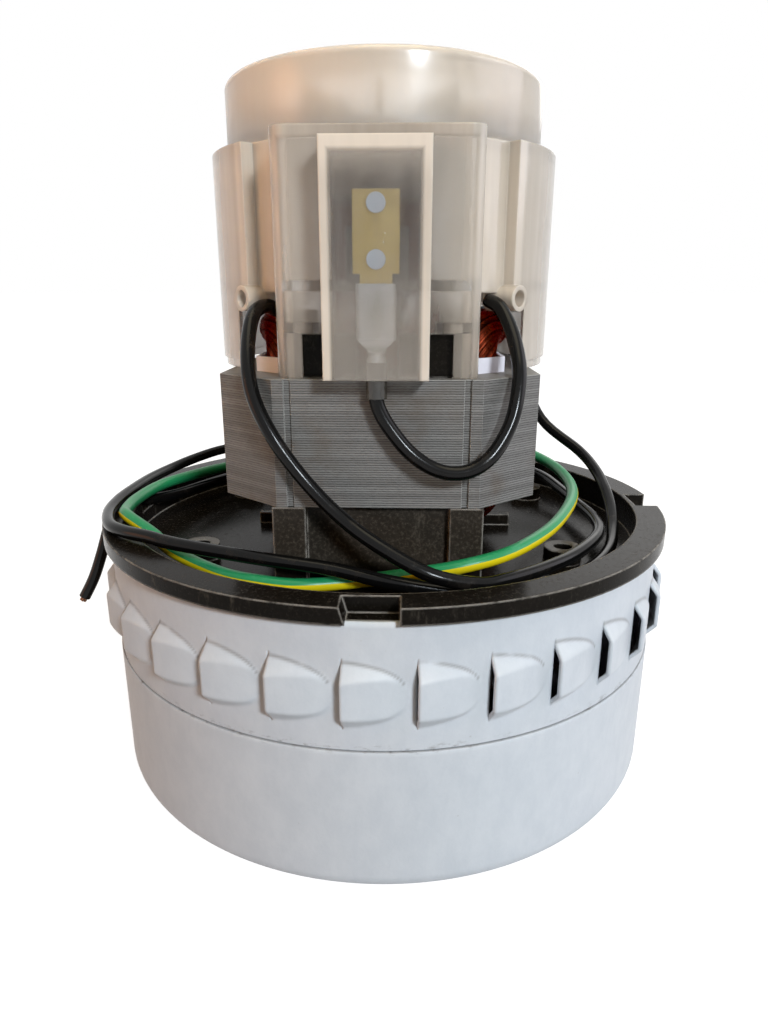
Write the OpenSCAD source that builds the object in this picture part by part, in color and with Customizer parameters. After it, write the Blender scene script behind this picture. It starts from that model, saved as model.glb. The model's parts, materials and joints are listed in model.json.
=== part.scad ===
// Two-stage vacuum motor unit: fan case, fan-end bracket, stator, brush bracket and cowl.
// Millimetres. The shaft is the Z axis, the fan case stands on z = 0, the front brush faces -Y.

/* [Fan case] */
// outside radius of the lower fan shell
can_r = 70.6; // [66:0.1:76]
// height of the lower fan shell, up to the seam
can_h = 33.5; // [31.5:0.1:36]
// thickness of the drawn sheet
sheet_t = 0.8; // [0.6:0.05:1]
// outside fillet radius at the foot of the shell
can_fillet = 4; // [2:0.5:6]
// outer radius of the raised floor round the inlet
recess_r = 40; // [34:0.5:50]
// rise of the raised floor above the sole
recess_d = 1.6; // [0.8:0.1:2]
// radius of the inlet eye
eye_r = 22; // [18:0.5:22.5]
// bend radius at the mouth of the inlet eye
mouth_r = 1.5; // [0.8:0.1:2]
// straight length of the inlet eye's lip
eye_lip = 4; // [2:0.5:4]
// height of the louvred band above the seam
band_h = 27.3; // [25.5:0.1:30]
// how far the band stands back from the lower shell
band_step = 0.3; // [0.1:0.05:0.5]
// open line between the two shells
seam_gap = 0.3; // [0.1:0.05:0.5]
// depth of the band's lip inside the lower shell
lip_h = 4; // [3:0.5:5]

/* [Louvres] */
// number of louvres round the band
louvre_n = 31; // [24:1:34]
// length of a louvre round the band, degrees
louvre_len = 10.1; // [8:0.1:10.4]
// how far the open end stands out of the band
louvre_proud = 2.6; // [2:0.1:3.2]
// height of a louvre at its root
louvre_h = 13.7; // [10:0.1:15]
// lower edge of a louvre above the seam
louvre_lift = 5.4; // [3:0.1:8]
// height of the slope at the top of a louvre
louvre_slope_top = 3.4; // [2:0.1:5]
// height of the slope at the bottom of a louvre
louvre_slope_foot = 2.6; // [1.5:0.1:4]
// radius of a louvre's plan curve
louvre_bow = 46; // [30:1:60]
// angle of one open end from the front, degrees
louvre_phase = 6.8; // [0:0.1:12]

/* [Fan-end bracket] */
// how far the rim stands out over the band
rim_overhang = 1.7; // [0.8:0.1:3]
// thickness of the rim
rim_t = 3.5; // [2.5:0.1:5]
// width of the rim's flat top
rim_w = 6.8; // [5:0.1:8]
// width of each of the four notches in the rim
notch_w = 10; // [6:0.5:14]
// slant of each notch's left end
notch_slant = 1; // [0:0.1:2]
// depth of the lead tray below the rim's top
tray_depth = 7.3; // [6:0.1:8]
// thickness of the tray floor
floor_t = 2.5; // [2:0.1:3]
// half spacing of the screw bosses, left to right
boss_x = 43; // [40:0.5:46]
// half spacing of the screw bosses, front to back
boss_y = 27.5; // [24:0.5:30]
// outside diameter of a screw boss
boss_d = 8.8; // [7:0.1:10]
// height of a screw boss above the tray floor
boss_h = 3.5; // [2:0.1:5]
// diameter of the blind hole in a screw boss
boss_hole_d = 4.4; // [3:0.1:5]
// depth of the blind hole in a screw boss
boss_hole_depth = 5; // [3:0.1:5]
// height of the two pedestals under the stator
pedestal_h = 18; // [16.5:0.1:21]
// width of a pedestal
pedestal_w = 44; // [40:0.5:46]
// width of a pedestal's corner post
post_w = 7; // [5:0.5:9]
// how far the panel between the posts stands back
panel_d = 2; // [1:0.1:2.5]

/* [Stator] */
// height of the stack of laminations
stack_h = 26.3; // [24:0.1:30]
// half length of the stack, front to back
stack_y = 45.8; // [45:0.1:47]
// half width of the stack, left to right
stack_x = 33.85; // [33:0.05:36]
// half width of the front face
stack_face = 21; // [20.5:0.1:23]
// half length of the straight side
stack_side = 34.9; // [33.5:0.1:37]
// radius of the bore
bore_r = 22.1; // [21.8:0.05:22.6]
// thickness of the yoke at the front and back
yoke_y = 10.3; // [9.8:0.1:11]
// thickness of the yoke at the sides
yoke_x = 6.85; // [6:0.05:7.5]
// shank diameter of the stator screws
screw_d = 3.5; // [3:0.1:4]
// half spacing of the stator screws, left to right
screw_x = 15; // [14.5:0.1:15]
// half spacing of the stator screws, front to back
screw_y = 39; // [38.8:0.1:39]

/* [Field coils] */
// loops in the outer layer of a coil
turns = 11; // [6:1:12]
// diameter of the enamelled wire in that layer
wire_d = 0.8; // [0.6:0.05:0.9]
// half height of a coil's bundle
coil_half = 3.4; // [2.8:0.1:3.5]
// how far the end turns stand beyond the stack
coil_over = 8; // [7:0.1:8.2]

/* [Brush bracket] */
// height of the hood above the stack
hood_h = 45.7; // [45:0.1:47]
// wall thickness of the hood
wall_t = 2; // [1.6:0.1:2.2]
// outside radius of the wall between frame and wing
hood_r = 37.2; // [37:0.1:38]
// outside radius of a wing
wing_r = 40; // [39.7:0.1:42]
// half angle of a wing, degrees
wing_half = 45; // [42:0.5:46]
// height of the step at a wing's foot
wing_foot = 1.8; // [1:0.1:4]
// depth of the step at a wing's foot
wing_step = 0.6; // [0.3:0.1:1]
// half width of the front frame
frame_x = 20.2; // [20:0.1:20.4]
// distance of the frame's face from the shaft
frame_y = 44; // [43.8:0.1:44.2]
// corner radius of the frame
frame_corner = 3; // [2:0.5:4]
// half width of the brush tower
tower_x = 10; // [9.5:0.1:10.5]
// distance of the tower's face from the shaft
tower_y = 52; // [51.9:0.1:54]
// height of the tower
tower_h = 42; // [40:0.1:43]
// height of the wire notch beside the frame
wire_notch_h = 16.4; // [14:0.1:16.6]
// width of the wire notch beside the frame
wire_notch_w = 11; // [8:0.1:11.4]
// height of the deck above the stack
deck_z = 16.7; // [16.5:0.1:17]
// outside diameter of a lead boss
lead_boss_d = 5.4; // [5:0.1:6]
// height of the brush centre above the stack
brush_lift = 28.3; // [27.8:0.1:28.6]

/* [Cowl] */
// outside radius of the cowl
cowl_r = 36.4; // [36:0.1:37]
// height of the cowl
cowl_h = 15; // [14.5:0.1:18]
// radius of the cowl's air inlet
cowl_eye = 24; // [16:0.5:28]
// fillet radius at the cowl's top edge
cowl_fillet = 1.5; // [0.5:0.1:1.9]

/* [Brushes] */
// width of a carbon brush
brush_w = 6; // [5:0.1:6]
// height of a carbon brush
brush_h = 9.6; // [8:0.1:9.6]
// length of a carbon brush
brush_len = 26; // [20:0.5:27]
// side clearance of a brush in its holder
brush_gap = 0.2; // [0.1:0.05:0.2]
// wall thickness of a brush holder
holder_t = 0.8; // [0.6:0.1:0.8]
// curls in a brush spring
spring_n = 7; // [5:1:8]
// wire diameter of a brush spring
spring_d = 0.7; // [0.5:0.05:0.7]

/* [Rotor] */
// air gap between armature and bore
air_gap = 0.6; // [0.4:0.05:1]
// diameter of the shaft in the armature
shaft_d = 10; // [9:0.5:10]
// diameter of the shaft at the fans
fan_shaft_d = 8; // [7:0.5:8]
// slots in the armature
slots = 22; // [14:1:24]
// radius of the commutator
comm_r = 12; // [11:0.5:12]
// tip radius of the impellers
impeller_r = 62; // [52:0.5:64]
// blades on each impeller
blades = 7; // [5:1:9]
// thickness of an impeller's plates
plate_t = 1; // [0.8:0.1:1.2]
// radius of the cooling fan
cooler_r = 31.5; // [26:0.5:33]
// blades on the cooling fan
cooler_blades = 12; // [8:1:16]

/* [Leads] */
// diameter of the leads
lead_d = 3; // [2.4:0.1:3]

/* [Hidden] */
$fn = 96;
e = 0.01;

can_in = can_r - sheet_t;
band_r = can_r - band_step;
band_in = band_r - sheet_t;
band_z = can_h + seam_gap;
case_z = can_h + band_h;
rim_r = band_r + rim_overhang;
rim_in = rim_r - rim_w;
rim_z = case_z + rim_t;
floor_z = rim_z - tray_depth;
under_z = floor_z - floor_t;
stack_z = floor_z + pedestal_h;
top_z = stack_z + stack_h;
hood_z = top_z + hood_h;
cowl_z = hood_z + cowl_h;
brush_z = top_z + brush_lift;
ledge_h = 8.7;
ledge_z = top_z + ledge_h;
plug_z = top_z + 0.5;

// lower bearing 10 x 30 x 9, upper bearing 8 x 22 x 7
lb_r = 15;
lb_in = shaft_d / 2;
lb_w = 9;
lb_z = under_z + 1.2;
lb_ball = 2.4;
lb_n = 8;
ub_r = 11;
ub_in = 4;
ub_w = 7;
ub_z = hood_z - ub_w;
ub_ball = 1.8;
ub_n = 7;
hub_r = 22;

// impeller heights, counted down from the lower bearing
hub2_z = lb_z - 6.7;
hub1_z = hub2_z - 30;
spacer_r = 7;
washer_r = 15;
washer_t = 1.5;
blade_in = 25;
eye1_z = hub1_z - 10;
eye2_z = hub2_z - 11.6;
tip_rise = 2.6;
plate_z = can_h - lip_h - sheet_t;
plate_eye_z = eye2_z - 2.6;
baffle_z = hub1_z + plate_t + 1.8;

bore_gap = bore_r - air_gap;
win_y = stack_y - yoke_y;
win_x = stack_x - yoke_x;
coil_x = 20.9;
coil_y = 24;
coil_flare = 6.2;
coil_hz = stack_h / 2 + coil_over;
coil_mid = stack_z + stack_h / 2;
lay = wire_d / 2 + 0.3;

holder_w = brush_w + 2 * brush_gap + 2 * holder_t;
holder_h = brush_h + 2 * brush_gap + 2 * holder_t;
holder_in = 14;
plate_w = holder_w + 0.6;
plate_low = 8.6;
holder_out = tower_y - 3;
brush_out = comm_r + 0.15 + brush_len;
comm_h = 17;
comm_z = ub_z - 2 - comm_h;
wire_y = tower_y - 3.8;
wire_z = top_z + 3.7;

shell_paint = [0.78, 0.79, 0.8];
black_plastic = [0.09, 0.085, 0.08];
milky = [0.86, 0.84, 0.78];
steel = [0.55, 0.55, 0.56];
bright_steel = [0.75, 0.75, 0.77];
copper = [0.42, 0.14, 0.08];
brass = [0.8, 0.62, 0.3];
carbon = [0.16, 0.16, 0.17];
white = [0.92, 0.91, 0.88];
alloy = [0.72, 0.73, 0.75];
lead_black = [0.05, 0.05, 0.055];
lead_green = [0.25, 0.5, 0.14];

function unit(v) = v / norm(v);
// centre of the arc of radius r that runs from p to q with its centre on the left
function arc_centre(p, q, r) = (p + q) / 2
    + [p.y - q.y, q.x - p.x] / norm(q - p) * sqrt(r * r - pow(norm(q - p), 2) / 4);
function heading(p) = atan2(p.y, p.x);
function polar(r, a) = r * [cos(a), sin(a)];

// tube along points, with rings carried forward without twist
function tangents(p) = [for (i = [0:len(p) - 1]) unit(p[min(i + 1, len(p) - 1)] - p[max(i - 1, 0)])];
function carried(t, n, i = 0, acc = []) = i == len(t) ? acc
    : let (v = n - (n * t[i]) * t[i]) carried(t, unit(v), i + 1, concat(acc, [unit(v)]));
function side_start(t) = abs(t.z) > 0.8 ? [1, 0, 0] : [0, 0, 1];

module tube(p, r, s) {
    t = tangents(p);
    u = carried(t, side_start(t[0]));
    m = len(p);
    rings = [for (i = [0:m - 1]) for (k = [0:s - 1])
        p[i] + r * (cos(360 * k / s) * u[i] + sin(360 * k / s) * cross(t[i], u[i]))];
    wall_a = [for (i = [0:m - 2]) for (k = [0:s - 1])
        [i * s + k, (i + 1) * s + k, i * s + (k + 1) % s]];
    wall_b = [for (i = [0:m - 2]) for (k = [0:s - 1])
        [i * s + (k + 1) % s, (i + 1) * s + k, (i + 1) * s + (k + 1) % s]];
    first = [for (k = [1:s - 2]) [0, k, k + 1]];
    last = [for (k = [1:s - 2]) [(m - 1) * s, (m - 1) * s + k + 1, (m - 1) * s + k]];
    polyhedron(rings, concat(wall_a, wall_b, first, last), convexity = 6);
}

module ring(r_out, r_in, z, h) {
    translate([0, 0, z]) difference() {
        cylinder(r = r_out, h = h);
        translate([0, 0, -1]) cylinder(r = r_in, h = h + 2);
    }
}

module box(x0, x1, y0, y1, z0, z1) {
    translate([x0, y0, z0]) cube([x1 - x0, y1 - y0, z1 - z0]);
}

module both_ends() {
    children();
    rotate(180) children();
}

module four_corners(x, y) {
    for (a = [-1, 1]) for (b = [-1, 1]) translate([a * x, b * y, 0]) children();
}

// lower fan shell: a drawn can with a rolled inlet eye
eye_x = eye_r + sheet_t + mouth_r;
eye_z = recess_d + sheet_t + mouth_r;

module lower_fan_shell() {
    color(shell_paint) rotate_extrude() {
        translate([can_in, can_fillet]) square([sheet_t, can_h - can_fillet]);
        translate([can_r - can_fillet, can_fillet]) intersection() {
            difference() {
                circle(can_fillet);
                circle(can_fillet - sheet_t);
            }
            translate([0, -can_fillet]) square(can_fillet);
        }
        translate([recess_r, 0]) square([can_r - can_fillet - recess_r, sheet_t]);
        polygon([[recess_r, 0], [recess_r, sheet_t], [recess_r - recess_d, recess_d + sheet_t],
            [recess_r - recess_d, recess_d]]);
        translate([eye_x, recess_d]) square([recess_r - recess_d - eye_x, sheet_t]);
        translate([eye_x, eye_z]) intersection() {
            difference() {
                circle(mouth_r + sheet_t);
                circle(mouth_r);
            }
            translate([-mouth_r - sheet_t, -mouth_r - sheet_t]) square(mouth_r + sheet_t);
        }
        translate([eye_r, eye_z]) square([sheet_t, eye_lip]);
    }
}

// upper fan shell: each louvre is a scoop turned about an axis beside the shaft
lv_z0 = can_h + louvre_lift;
lv_z1 = lv_z0 + louvre_h;
lv_p = polar(band_r + louvre_proud, 0);
lv_q = polar(band_r, louvre_len);
lv_c = arc_centre(lv_p, lv_q, louvre_bow);
lv_a = heading(lv_p - lv_c);
lv_b = heading(lv_q - lv_c);
function lv_foot(r, t) = lv_z0 + louvre_slope_foot / louvre_proud * (r - louvre_bow + louvre_proud)
    + t * norm([1, louvre_slope_foot / louvre_proud]);
function lv_head(r, t) = lv_z1 - louvre_slope_top / louvre_proud * (r - louvre_bow + louvre_proud)
    - t * norm([1, louvre_slope_top / louvre_proud]);

module scoop(t, a, b) {
    r1 = louvre_bow - t;
    r0 = louvre_bow - louvre_proud - 1.4;
    translate(lv_c) rotate(a) rotate_extrude(angle = b - a)
        polygon([[r0, lv_foot(r0, t)], [r1, lv_foot(r1, t)], [r1, lv_head(r1, t)], [r0, lv_head(r0, t)]]);
}

module louvres() {
    for (i = [0:louvre_n - 1]) rotate(louvre_phase - 90 + i * 360 / louvre_n) children();
}

module upper_fan_shell() {
    color(shell_paint) {
        difference() {
            union() {
                translate([0, 0, band_z]) cylinder(r = band_r, h = case_z - band_z);
                louvres() scoop(0, lv_a, lv_b + 1);
            }
            translate([0, 0, band_z - 1]) cylinder(r = band_in, h = band_h + 2);
            louvres() scoop(sheet_t, lv_a - 0.25, lv_b + 1);
        }
        rotate_extrude() polygon([[can_in - sheet_t, can_h - lip_h], [can_in, can_h - lip_h],
            [can_in, band_z], [band_r, band_z], [band_r, band_z + 1], [band_in, band_z + 1],
            [can_in - sheet_t, band_z]]);
    }
}

// stage plate and return vanes between the two impellers
plate_land = 4.6;
plate_flat = can_r - plate_land;

module stage_plate() {
    color(bright_steel) rotate_extrude()
        polygon([[can_in, plate_z], [can_in, plate_z + sheet_t], [plate_flat, plate_z + sheet_t],
            [blade_in - 1, plate_eye_z + sheet_t], [blade_in - 1, plate_eye_z], [plate_flat, plate_z]]);
}

vane_gap = 0.1;
vane_bow = 46;
vane_inset = 3;
vane_p = polar(blade_in + 2, 0);
vane_q = polar(impeller_r - vane_inset, 62);
vane_c = arc_centre(vane_p, vane_q, vane_bow);
baffle_bore = spacer_r + vane_inset;

module baffle_plate() {
    color(bright_steel) ring(impeller_r, baffle_bore, baffle_z, sheet_t);
}

module return_vanes() {
    color(bright_steel) intersection() {
        for (i = [0:11]) rotate(i * 30 + 10) translate(vane_c) rotate(heading(vane_p - vane_c))
            rotate_extrude(angle = heading(vane_q - vane_c) - heading(vane_p - vane_c))
            translate([vane_bow, baffle_z]) square([sheet_t, plate_eye_z - baffle_z]);
        rotate_extrude() polygon([[blade_in - 1, baffle_z + sheet_t], [plate_flat, baffle_z + sheet_t],
            [plate_flat, plate_z - vane_gap], [blade_in - 1, plate_eye_z - vane_gap]]);
    }
}

// fan-end bracket: rim, tray, hub, pedestals and bosses in one moulding
ped_y = stack_y + 0.2;
ped_in = screw_y - 4;

module pedestal() {
    difference() {
        box(-pedestal_w / 2, pedestal_w / 2, -ped_y, -ped_in, floor_z - 1, stack_z);
        box(post_w - pedestal_w / 2, pedestal_w / 2 - post_w, -ped_y - 1, panel_d - ped_y,
            floor_z, stack_z + 1);
        box(-screw_x + 4, screw_x - 4, -ped_y + 4, -ped_in + 1, floor_z, stack_z + 1);
    }
}

// rim notch with one slanted end; the left one is open through to the tray for a lead
rim_web = 1;

module rim_notch(r_from) {
    translate([0, -r_from, 0]) rotate([90, 0, 0]) linear_extrude(rim_r + 1 - r_from)
        polygon([[-notch_w / 2, case_z], [notch_w / 2, case_z], [notch_w / 2, rim_z + e],
            [-notch_w / 2 - notch_slant, rim_z + e]]);
}

module fan_end_bracket() {
    color(black_plastic) difference() {
        union() {
            difference() {
                union() {
                    translate([0, 0, under_z]) cylinder(r = band_in, h = case_z - under_z + 1);
                    translate([0, 0, case_z]) cylinder(r = rim_r, h = rim_t);
                }
                translate([0, 0, floor_z]) cylinder(r = rim_in, h = tray_depth + 1);
                for (a = [0, 90, 180]) rotate(a) rim_notch(rim_in + rim_web);
                rotate(270) rim_notch(rim_in - 1);
            }
            translate([0, 0, under_z]) cylinder(r = hub_r, h = lb_z + lb_w - under_z);
            for (a = [0, 60, 120, 180, 240, 300]) rotate(a)
                box(hub_r - 1, hub_r + 12, -1, 1, floor_z - 1, floor_z + 3);
            both_ends() pedestal();
            four_corners(boss_x, boss_y) translate([0, 0, floor_z - 1]) cylinder(d = boss_d, h = boss_h + 1);
        }
        translate([0, 0, lb_z]) cylinder(r = lb_r, h = 40);
        translate([0, 0, under_z - 1]) cylinder(r = lb_r - 3, h = 10);
        four_corners(boss_x, boss_y) translate([0, 0, floor_z + boss_h - boss_hole_depth])
            cylinder(d = boss_hole_d, h = 10);
        four_corners(screw_x, screw_y) translate([0, 0, stack_z - 11]) cylinder(d = screw_d, h = 20);
        retainer_places() translate([0, 0, lb_z + 3]) cylinder(d = 3, h = 20);
    }
}

module retainer_places() {
    for (a = [90, 210, 330]) rotate(a) translate([(lb_r + hub_r) / 2, 0, 0]) children();
}

module bearing_retainer() {
    color(bright_steel) difference() {
        ring(hub_r, lb_r - 2.6, lb_z + lb_w, 1.2);
        retainer_places() translate([0, 0, lb_z]) cylinder(d = 3, h = 20);
    }
}

module retainer_screws() {
    color(bright_steel) retainer_places() {
        translate([0, 0, lb_z + 3]) cylinder(d = 3, h = lb_w - 1.8);
        translate([0, 0, lb_z + lb_w + 1.2]) cylinder(d = 5.2, h = 1.6);
    }
}

// ball bearings
module race(r_out, r_in, z, w, r_ball, r_pitch) {
    difference() {
        ring(r_out, r_in, z, w);
        translate([0, 0, z + w / 2]) rotate_extrude() translate([r_pitch, 0]) circle(r_ball + 0.1);
    }
}

module caged_balls(n, z, r_ball, r_pitch) {
    ring(r_pitch + r_ball * 0.3, r_pitch - r_ball * 0.3, z - r_ball * 0.5, r_ball);
    for (i = [0:n - 1]) rotate(i * 360 / n) translate([r_pitch, 0, z]) sphere(r_ball);
}

lb_pitch = (lb_r + lb_in) / 2;
ub_pitch = (ub_r + ub_in) / 2;

module lower_bearing_outer() {
    color(bright_steel) race(lb_r, lb_pitch + 0.72 * lb_ball, lb_z, lb_w, lb_ball, lb_pitch);
}

module lower_bearing_balls() {
    color(bright_steel) caged_balls(lb_n, lb_z + lb_w / 2, lb_ball, lb_pitch);
}

module lower_bearing_inner() {
    color(bright_steel) race(lb_pitch - 0.72 * lb_ball, lb_in, lb_z, lb_w, lb_ball, lb_pitch);
}

module upper_bearing_outer() {
    color(bright_steel) race(ub_r, ub_pitch + 0.72 * ub_ball, ub_z, ub_w, ub_ball, ub_pitch);
}

module upper_bearing_balls() {
    color(bright_steel) caged_balls(ub_n, ub_z + ub_w / 2, ub_ball, ub_pitch);
}

module upper_bearing_inner() {
    color(bright_steel) race(ub_pitch - 0.72 * ub_ball, ub_in, ub_z, ub_w, ub_ball, ub_pitch);
}

// stator core: eight-sided stack with two poles, left and right
pole_tip = 40;
pole_neck = 12;

module stator_window() {
    polygon([[-polar(bore_r - 2, pole_tip).x, -polar(bore_r - 2, pole_tip).y],
        [-polar(bore_r + 3, pole_tip).x, -polar(bore_r + 3, pole_tip).y],
        [-polar(bore_r + 3, pole_tip).x - 2, -pole_neck], [-win_x, -pole_neck],
        [-win_x, -win_y + 6], [-win_x + 7, -win_y], [win_x - 7, -win_y], [win_x, -win_y + 6],
        [win_x, -pole_neck], [polar(bore_r + 3, pole_tip).x + 2, -pole_neck],
        [polar(bore_r + 3, pole_tip).x, -polar(bore_r + 3, pole_tip).y],
        [polar(bore_r - 2, pole_tip).x, -polar(bore_r - 2, pole_tip).y]]);
}

module stator_core() {
    color(steel) difference() {
        translate([0, 0, stack_z]) linear_extrude(stack_h) difference() {
            polygon([[-stack_face, -stack_y], [stack_face, -stack_y], [stack_x, -stack_side],
                [stack_x, stack_side], [stack_face, stack_y], [-stack_face, stack_y],
                [-stack_x, stack_side], [-stack_x, -stack_side]]);
            circle(bore_r);
            both_ends() stator_window();
            four_corners(screw_x, screw_y) circle(screw_d / 2 + 0.25);
            four_corners(stack_face - 3, stack_y) square([1.4, 1.2], center = true);
        }
        translate([earth_x, win_y + 2, earth_z]) rotate([-90, 0, 0]) cylinder(d = 4, h = 20);
    }
}

module stator_screws() {
    color(bright_steel) four_corners(screw_x, screw_y) {
        translate([0, 0, stack_z - 11]) cylinder(d = screw_d, h = ledge_z + wall_t + 11 - stack_z);
        translate([0, 0, ledge_z + wall_t]) difference() {
            cylinder(d = screw_d + 2.2, h = 2.4);
            box(-3, 3, -0.4, 0.4, 1.6, 3);
        }
    }
}

// field coils: a saddle of wire round each pole
function coil_rad(a) = pow(pow(abs(cos(a)) / coil_y, 4) + pow(abs(sin(a)) / coil_hz, 4), -0.25);
function coil_mid_at(a) = [coil_x + coil_flare * pow(sin(a), 4), coil_rad(a) * cos(a),
    coil_mid + coil_rad(a) * sin(a)];
function coil_out_at(a) = unit([0, pow(cos(a), 3) / pow(coil_y, 4) * pow(coil_rad(a), 3),
    pow(sin(a), 3) / pow(coil_hz, 4) * pow(coil_rad(a), 3)]);
function coil_at(a, b, r) = coil_mid_at(a) + r * (sin(b) * [1, 0, 0] + cos(b) * coil_out_at(a));
loop_steps = 24;
wind_from = -105;
wind_to = 105;
function wind_at(i) = coil_at(i * 360 / loop_steps - 90,
    wind_from + (wind_to - wind_from) * i / (turns * loop_steps), coil_half + lay);
wind_path = [for (i = [0:turns * loop_steps]) wind_at(i)];
wind_ends = concat([wind_path[0] - wire_d * unit(wind_path[1] - wind_path[0])], wind_path,
    [wind_path[turns * loop_steps]
        + wire_d * unit(wind_path[turns * loop_steps] - wind_path[turns * loop_steps - 1])]);
wind_gap = min([for (i = [0:turns * loop_steps]) for (j = [i + 14:min(i + 34, turns * loop_steps)])
    if (j <= turns * loop_steps) norm(wind_path[i] - wind_path[j])]) - wire_d;
echo(winding_gap = wind_gap);

module coil_core() {
    s = 10;
    m = 24;
    pts = [for (i = [0:m - 1]) for (k = [0:s - 1]) coil_at(i * 360 / m, k * 360 / s, coil_half)];
    wall_a = [for (i = [0:m - 1]) for (k = [0:s - 1])
        [i * s + k, i * s + (k + 1) % s, ((i + 1) % m) * s + k]];
    wall_b = [for (i = [0:m - 1]) for (k = [0:s - 1])
        [i * s + (k + 1) % s, ((i + 1) % m) * s + (k + 1) % s, ((i + 1) % m) * s + k]];
    polyhedron(pts, concat(wall_a, wall_b), convexity = 6);
}

module right_coil_core() {
    color(copper) coil_core();
}

module left_coil_core() {
    color(copper) mirror([1, 0, 0]) coil_core();
}

module right_coil_winding() {
    color(copper) tube(wind_ends, wire_d / 2, 6);
}

module left_coil_winding() {
    color(copper) mirror([1, 0, 0]) tube(wind_ends, wire_d / 2, 6);
}

// slot liners: bent strips between coil and yoke
liner_t = 0.8;
liner_x = frame_x + 0.6;

module slot_liners() {
    color(white) translate([0, 0, stack_z - 3]) linear_extrude(stack_h + 6.2)
        for (a = [-1, 1]) for (b = [-1, 1]) scale_sign(a, b)
            polygon([[liner_x, win_y - (liner_x - win_x + 7) * 6 / 7], [win_x, win_y - 6],
                [win_x, pole_neck + 2], [win_x - liner_t, pole_neck + 2],
                [win_x - liner_t, win_y - 6 - liner_t * 0.5],
                [liner_x, win_y - (liner_x - win_x + 7) * 6 / 7 - liner_t * 1.32]]);
}

module scale_sign(a, b) {
    mirror([a < 0 ? 1 : 0, 0]) mirror([0, b < 0 ? 1 : 0]) children();
}

// upper insulators: black blocks that carry the hood's ledge
module upper_insulators() {
    color(black_plastic) both_ends() difference() {
        translate([0, 0, top_z]) linear_extrude(ledge_h) intersection() {
            rounded(frame_x - wall_t - 0.3, frame_y - wall_t - 0.2, frame_corner - wall_t / 2);
            union() {
                translate([-frame_x, -frame_y]) square([2 * frame_x, wall_t + 1.6]);
                for (a = [-1, 1]) translate([a * screw_x - 2.8, -frame_y])
                    square([5.6, frame_y - screw_y + 2.8]);
            }
        }
        for (a = [-1, 1]) translate([a * screw_x, -screw_y, top_z - 1])
            cylinder(d = screw_d + 0.5, h = ledge_h + 2);
        box(-4, 4, -frame_y, -frame_y + 5, top_z - 1, ledge_z + 1);
    }
}

// brush bracket: translucent hood body
module rounded(x, y, r) {
    square([2 * x - 2 * r, 2 * y], center = true);
    square([2 * x, 2 * y - 2 * r], center = true);
    four_corners(x - r, y - r) circle(r);
}

module wing_plan(r, half) {
    intersection() {
        circle(r);
        both_ends() polygon([[0, 0], polar(2 * r, -half), polar(2 * r, 0), polar(2 * r, half)]);
    }
}

module hood_plan(t) {
    circle(hood_r - t);
    rounded(frame_x - t, frame_y - t, frame_corner - t / 2);
    wing_plan(wing_r - t, wing_half - t * 1.45);
}

module lead_bosses(r0, r1, d) {
    for (a = [44.5, 135.5, 224.5, 315.5]) rotate(a) translate([r0, 0, top_z + deck_z - 1.5])
        rotate([0, 90, 0]) cylinder(d = d, h = r1 - r0);
}

module brush_saddle() {
    box(-holder_w / 2, holder_w / 2, -frame_y + 1, -17.5, top_z + deck_z, brush_z - holder_h / 2);
    for (a = [-1, 1]) translate([a * (holder_w / 2 + 1), 0, 0])
        box(-1, 1, -frame_y + 1, -17.5, top_z + deck_z, brush_z);
}

module brush_bracket() {
    color(milky) difference() {
        union() {
            difference() {
                union() {
                    translate([0, 0, top_z]) linear_extrude(hood_h) hood_plan(0);
                    both_ends() box(-tower_x, tower_x, -tower_y, -frame_y + 1, plug_z, plug_z + tower_h);
                }
                translate([0, 0, top_z - 1]) linear_extrude(hood_h + 1 - wall_t) hood_plan(wall_t);
                both_ends() box(-tower_x + wall_t, tower_x - wall_t, -tower_y + wall_t * 0.8,
                    -frame_y + wall_t + 1, plug_z - 1, plug_z + tower_h - wall_t);
                both_ends() for (a = [-1, 1]) translate([a * (tower_x + 2.5), 0, 0])
                    box(-2.5, 2.5, -frame_y - 1, -frame_y + wall_t + 0.1, top_z - 1, ledge_z);
                both_ends() for (a = [-1, 1]) translate([a * frame_x, 0, 0])
                    box(min(0, a * wire_notch_w), max(0, a * wire_notch_w), -frame_y - 1, -20,
                        top_z - 1, top_z + wire_notch_h);
                translate([0, 0, top_z - 1]) linear_extrude(wing_foot + 1) difference() {
                    wing_plan(wing_r + 1, wing_half + 1);
                    circle(wing_r - wing_step);
                }
            }
            translate([0, 0, top_z + deck_z]) linear_extrude(wall_t) difference() {
                hood_plan(wall_t - 0.2);
                circle(17);
                for (a = [-1, 1]) translate([a * 25, 0]) rounded(5, 14, 3);
            }
            both_ends() for (a = [-1, 1]) translate([a * screw_x, 0, 0])
                box(-3.4, 3.4, -frame_y + 1, -screw_y + 3.2, ledge_z, ledge_z + wall_t);
            both_ends() brush_saddle();
            translate([0, 0, ub_z - 1.2]) cylinder(r = ub_r + 2.5, h = ub_w + 1.2);
            lead_bosses(33.5, wing_r + 1.5, lead_boss_d);
        }
        translate([0, 0, ub_z]) cylinder(r = ub_r, h = ub_w + 5);
        translate([0, 0, ub_z - 3]) cylinder(r = ub_r - 2.4, h = 8);
        for (i = [0:7]) rotate(22.5 + i * 45) translate([24, 0, hood_z]) cube([17, 7, 12], center = true);
        lead_bosses(30, wing_r + 5, lead_d + 0.4);
        four_corners(screw_x, screw_y) translate([0, 0, ledge_z - 1]) cylinder(d = screw_d + 0.5, h = 5);
    }
}

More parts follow.
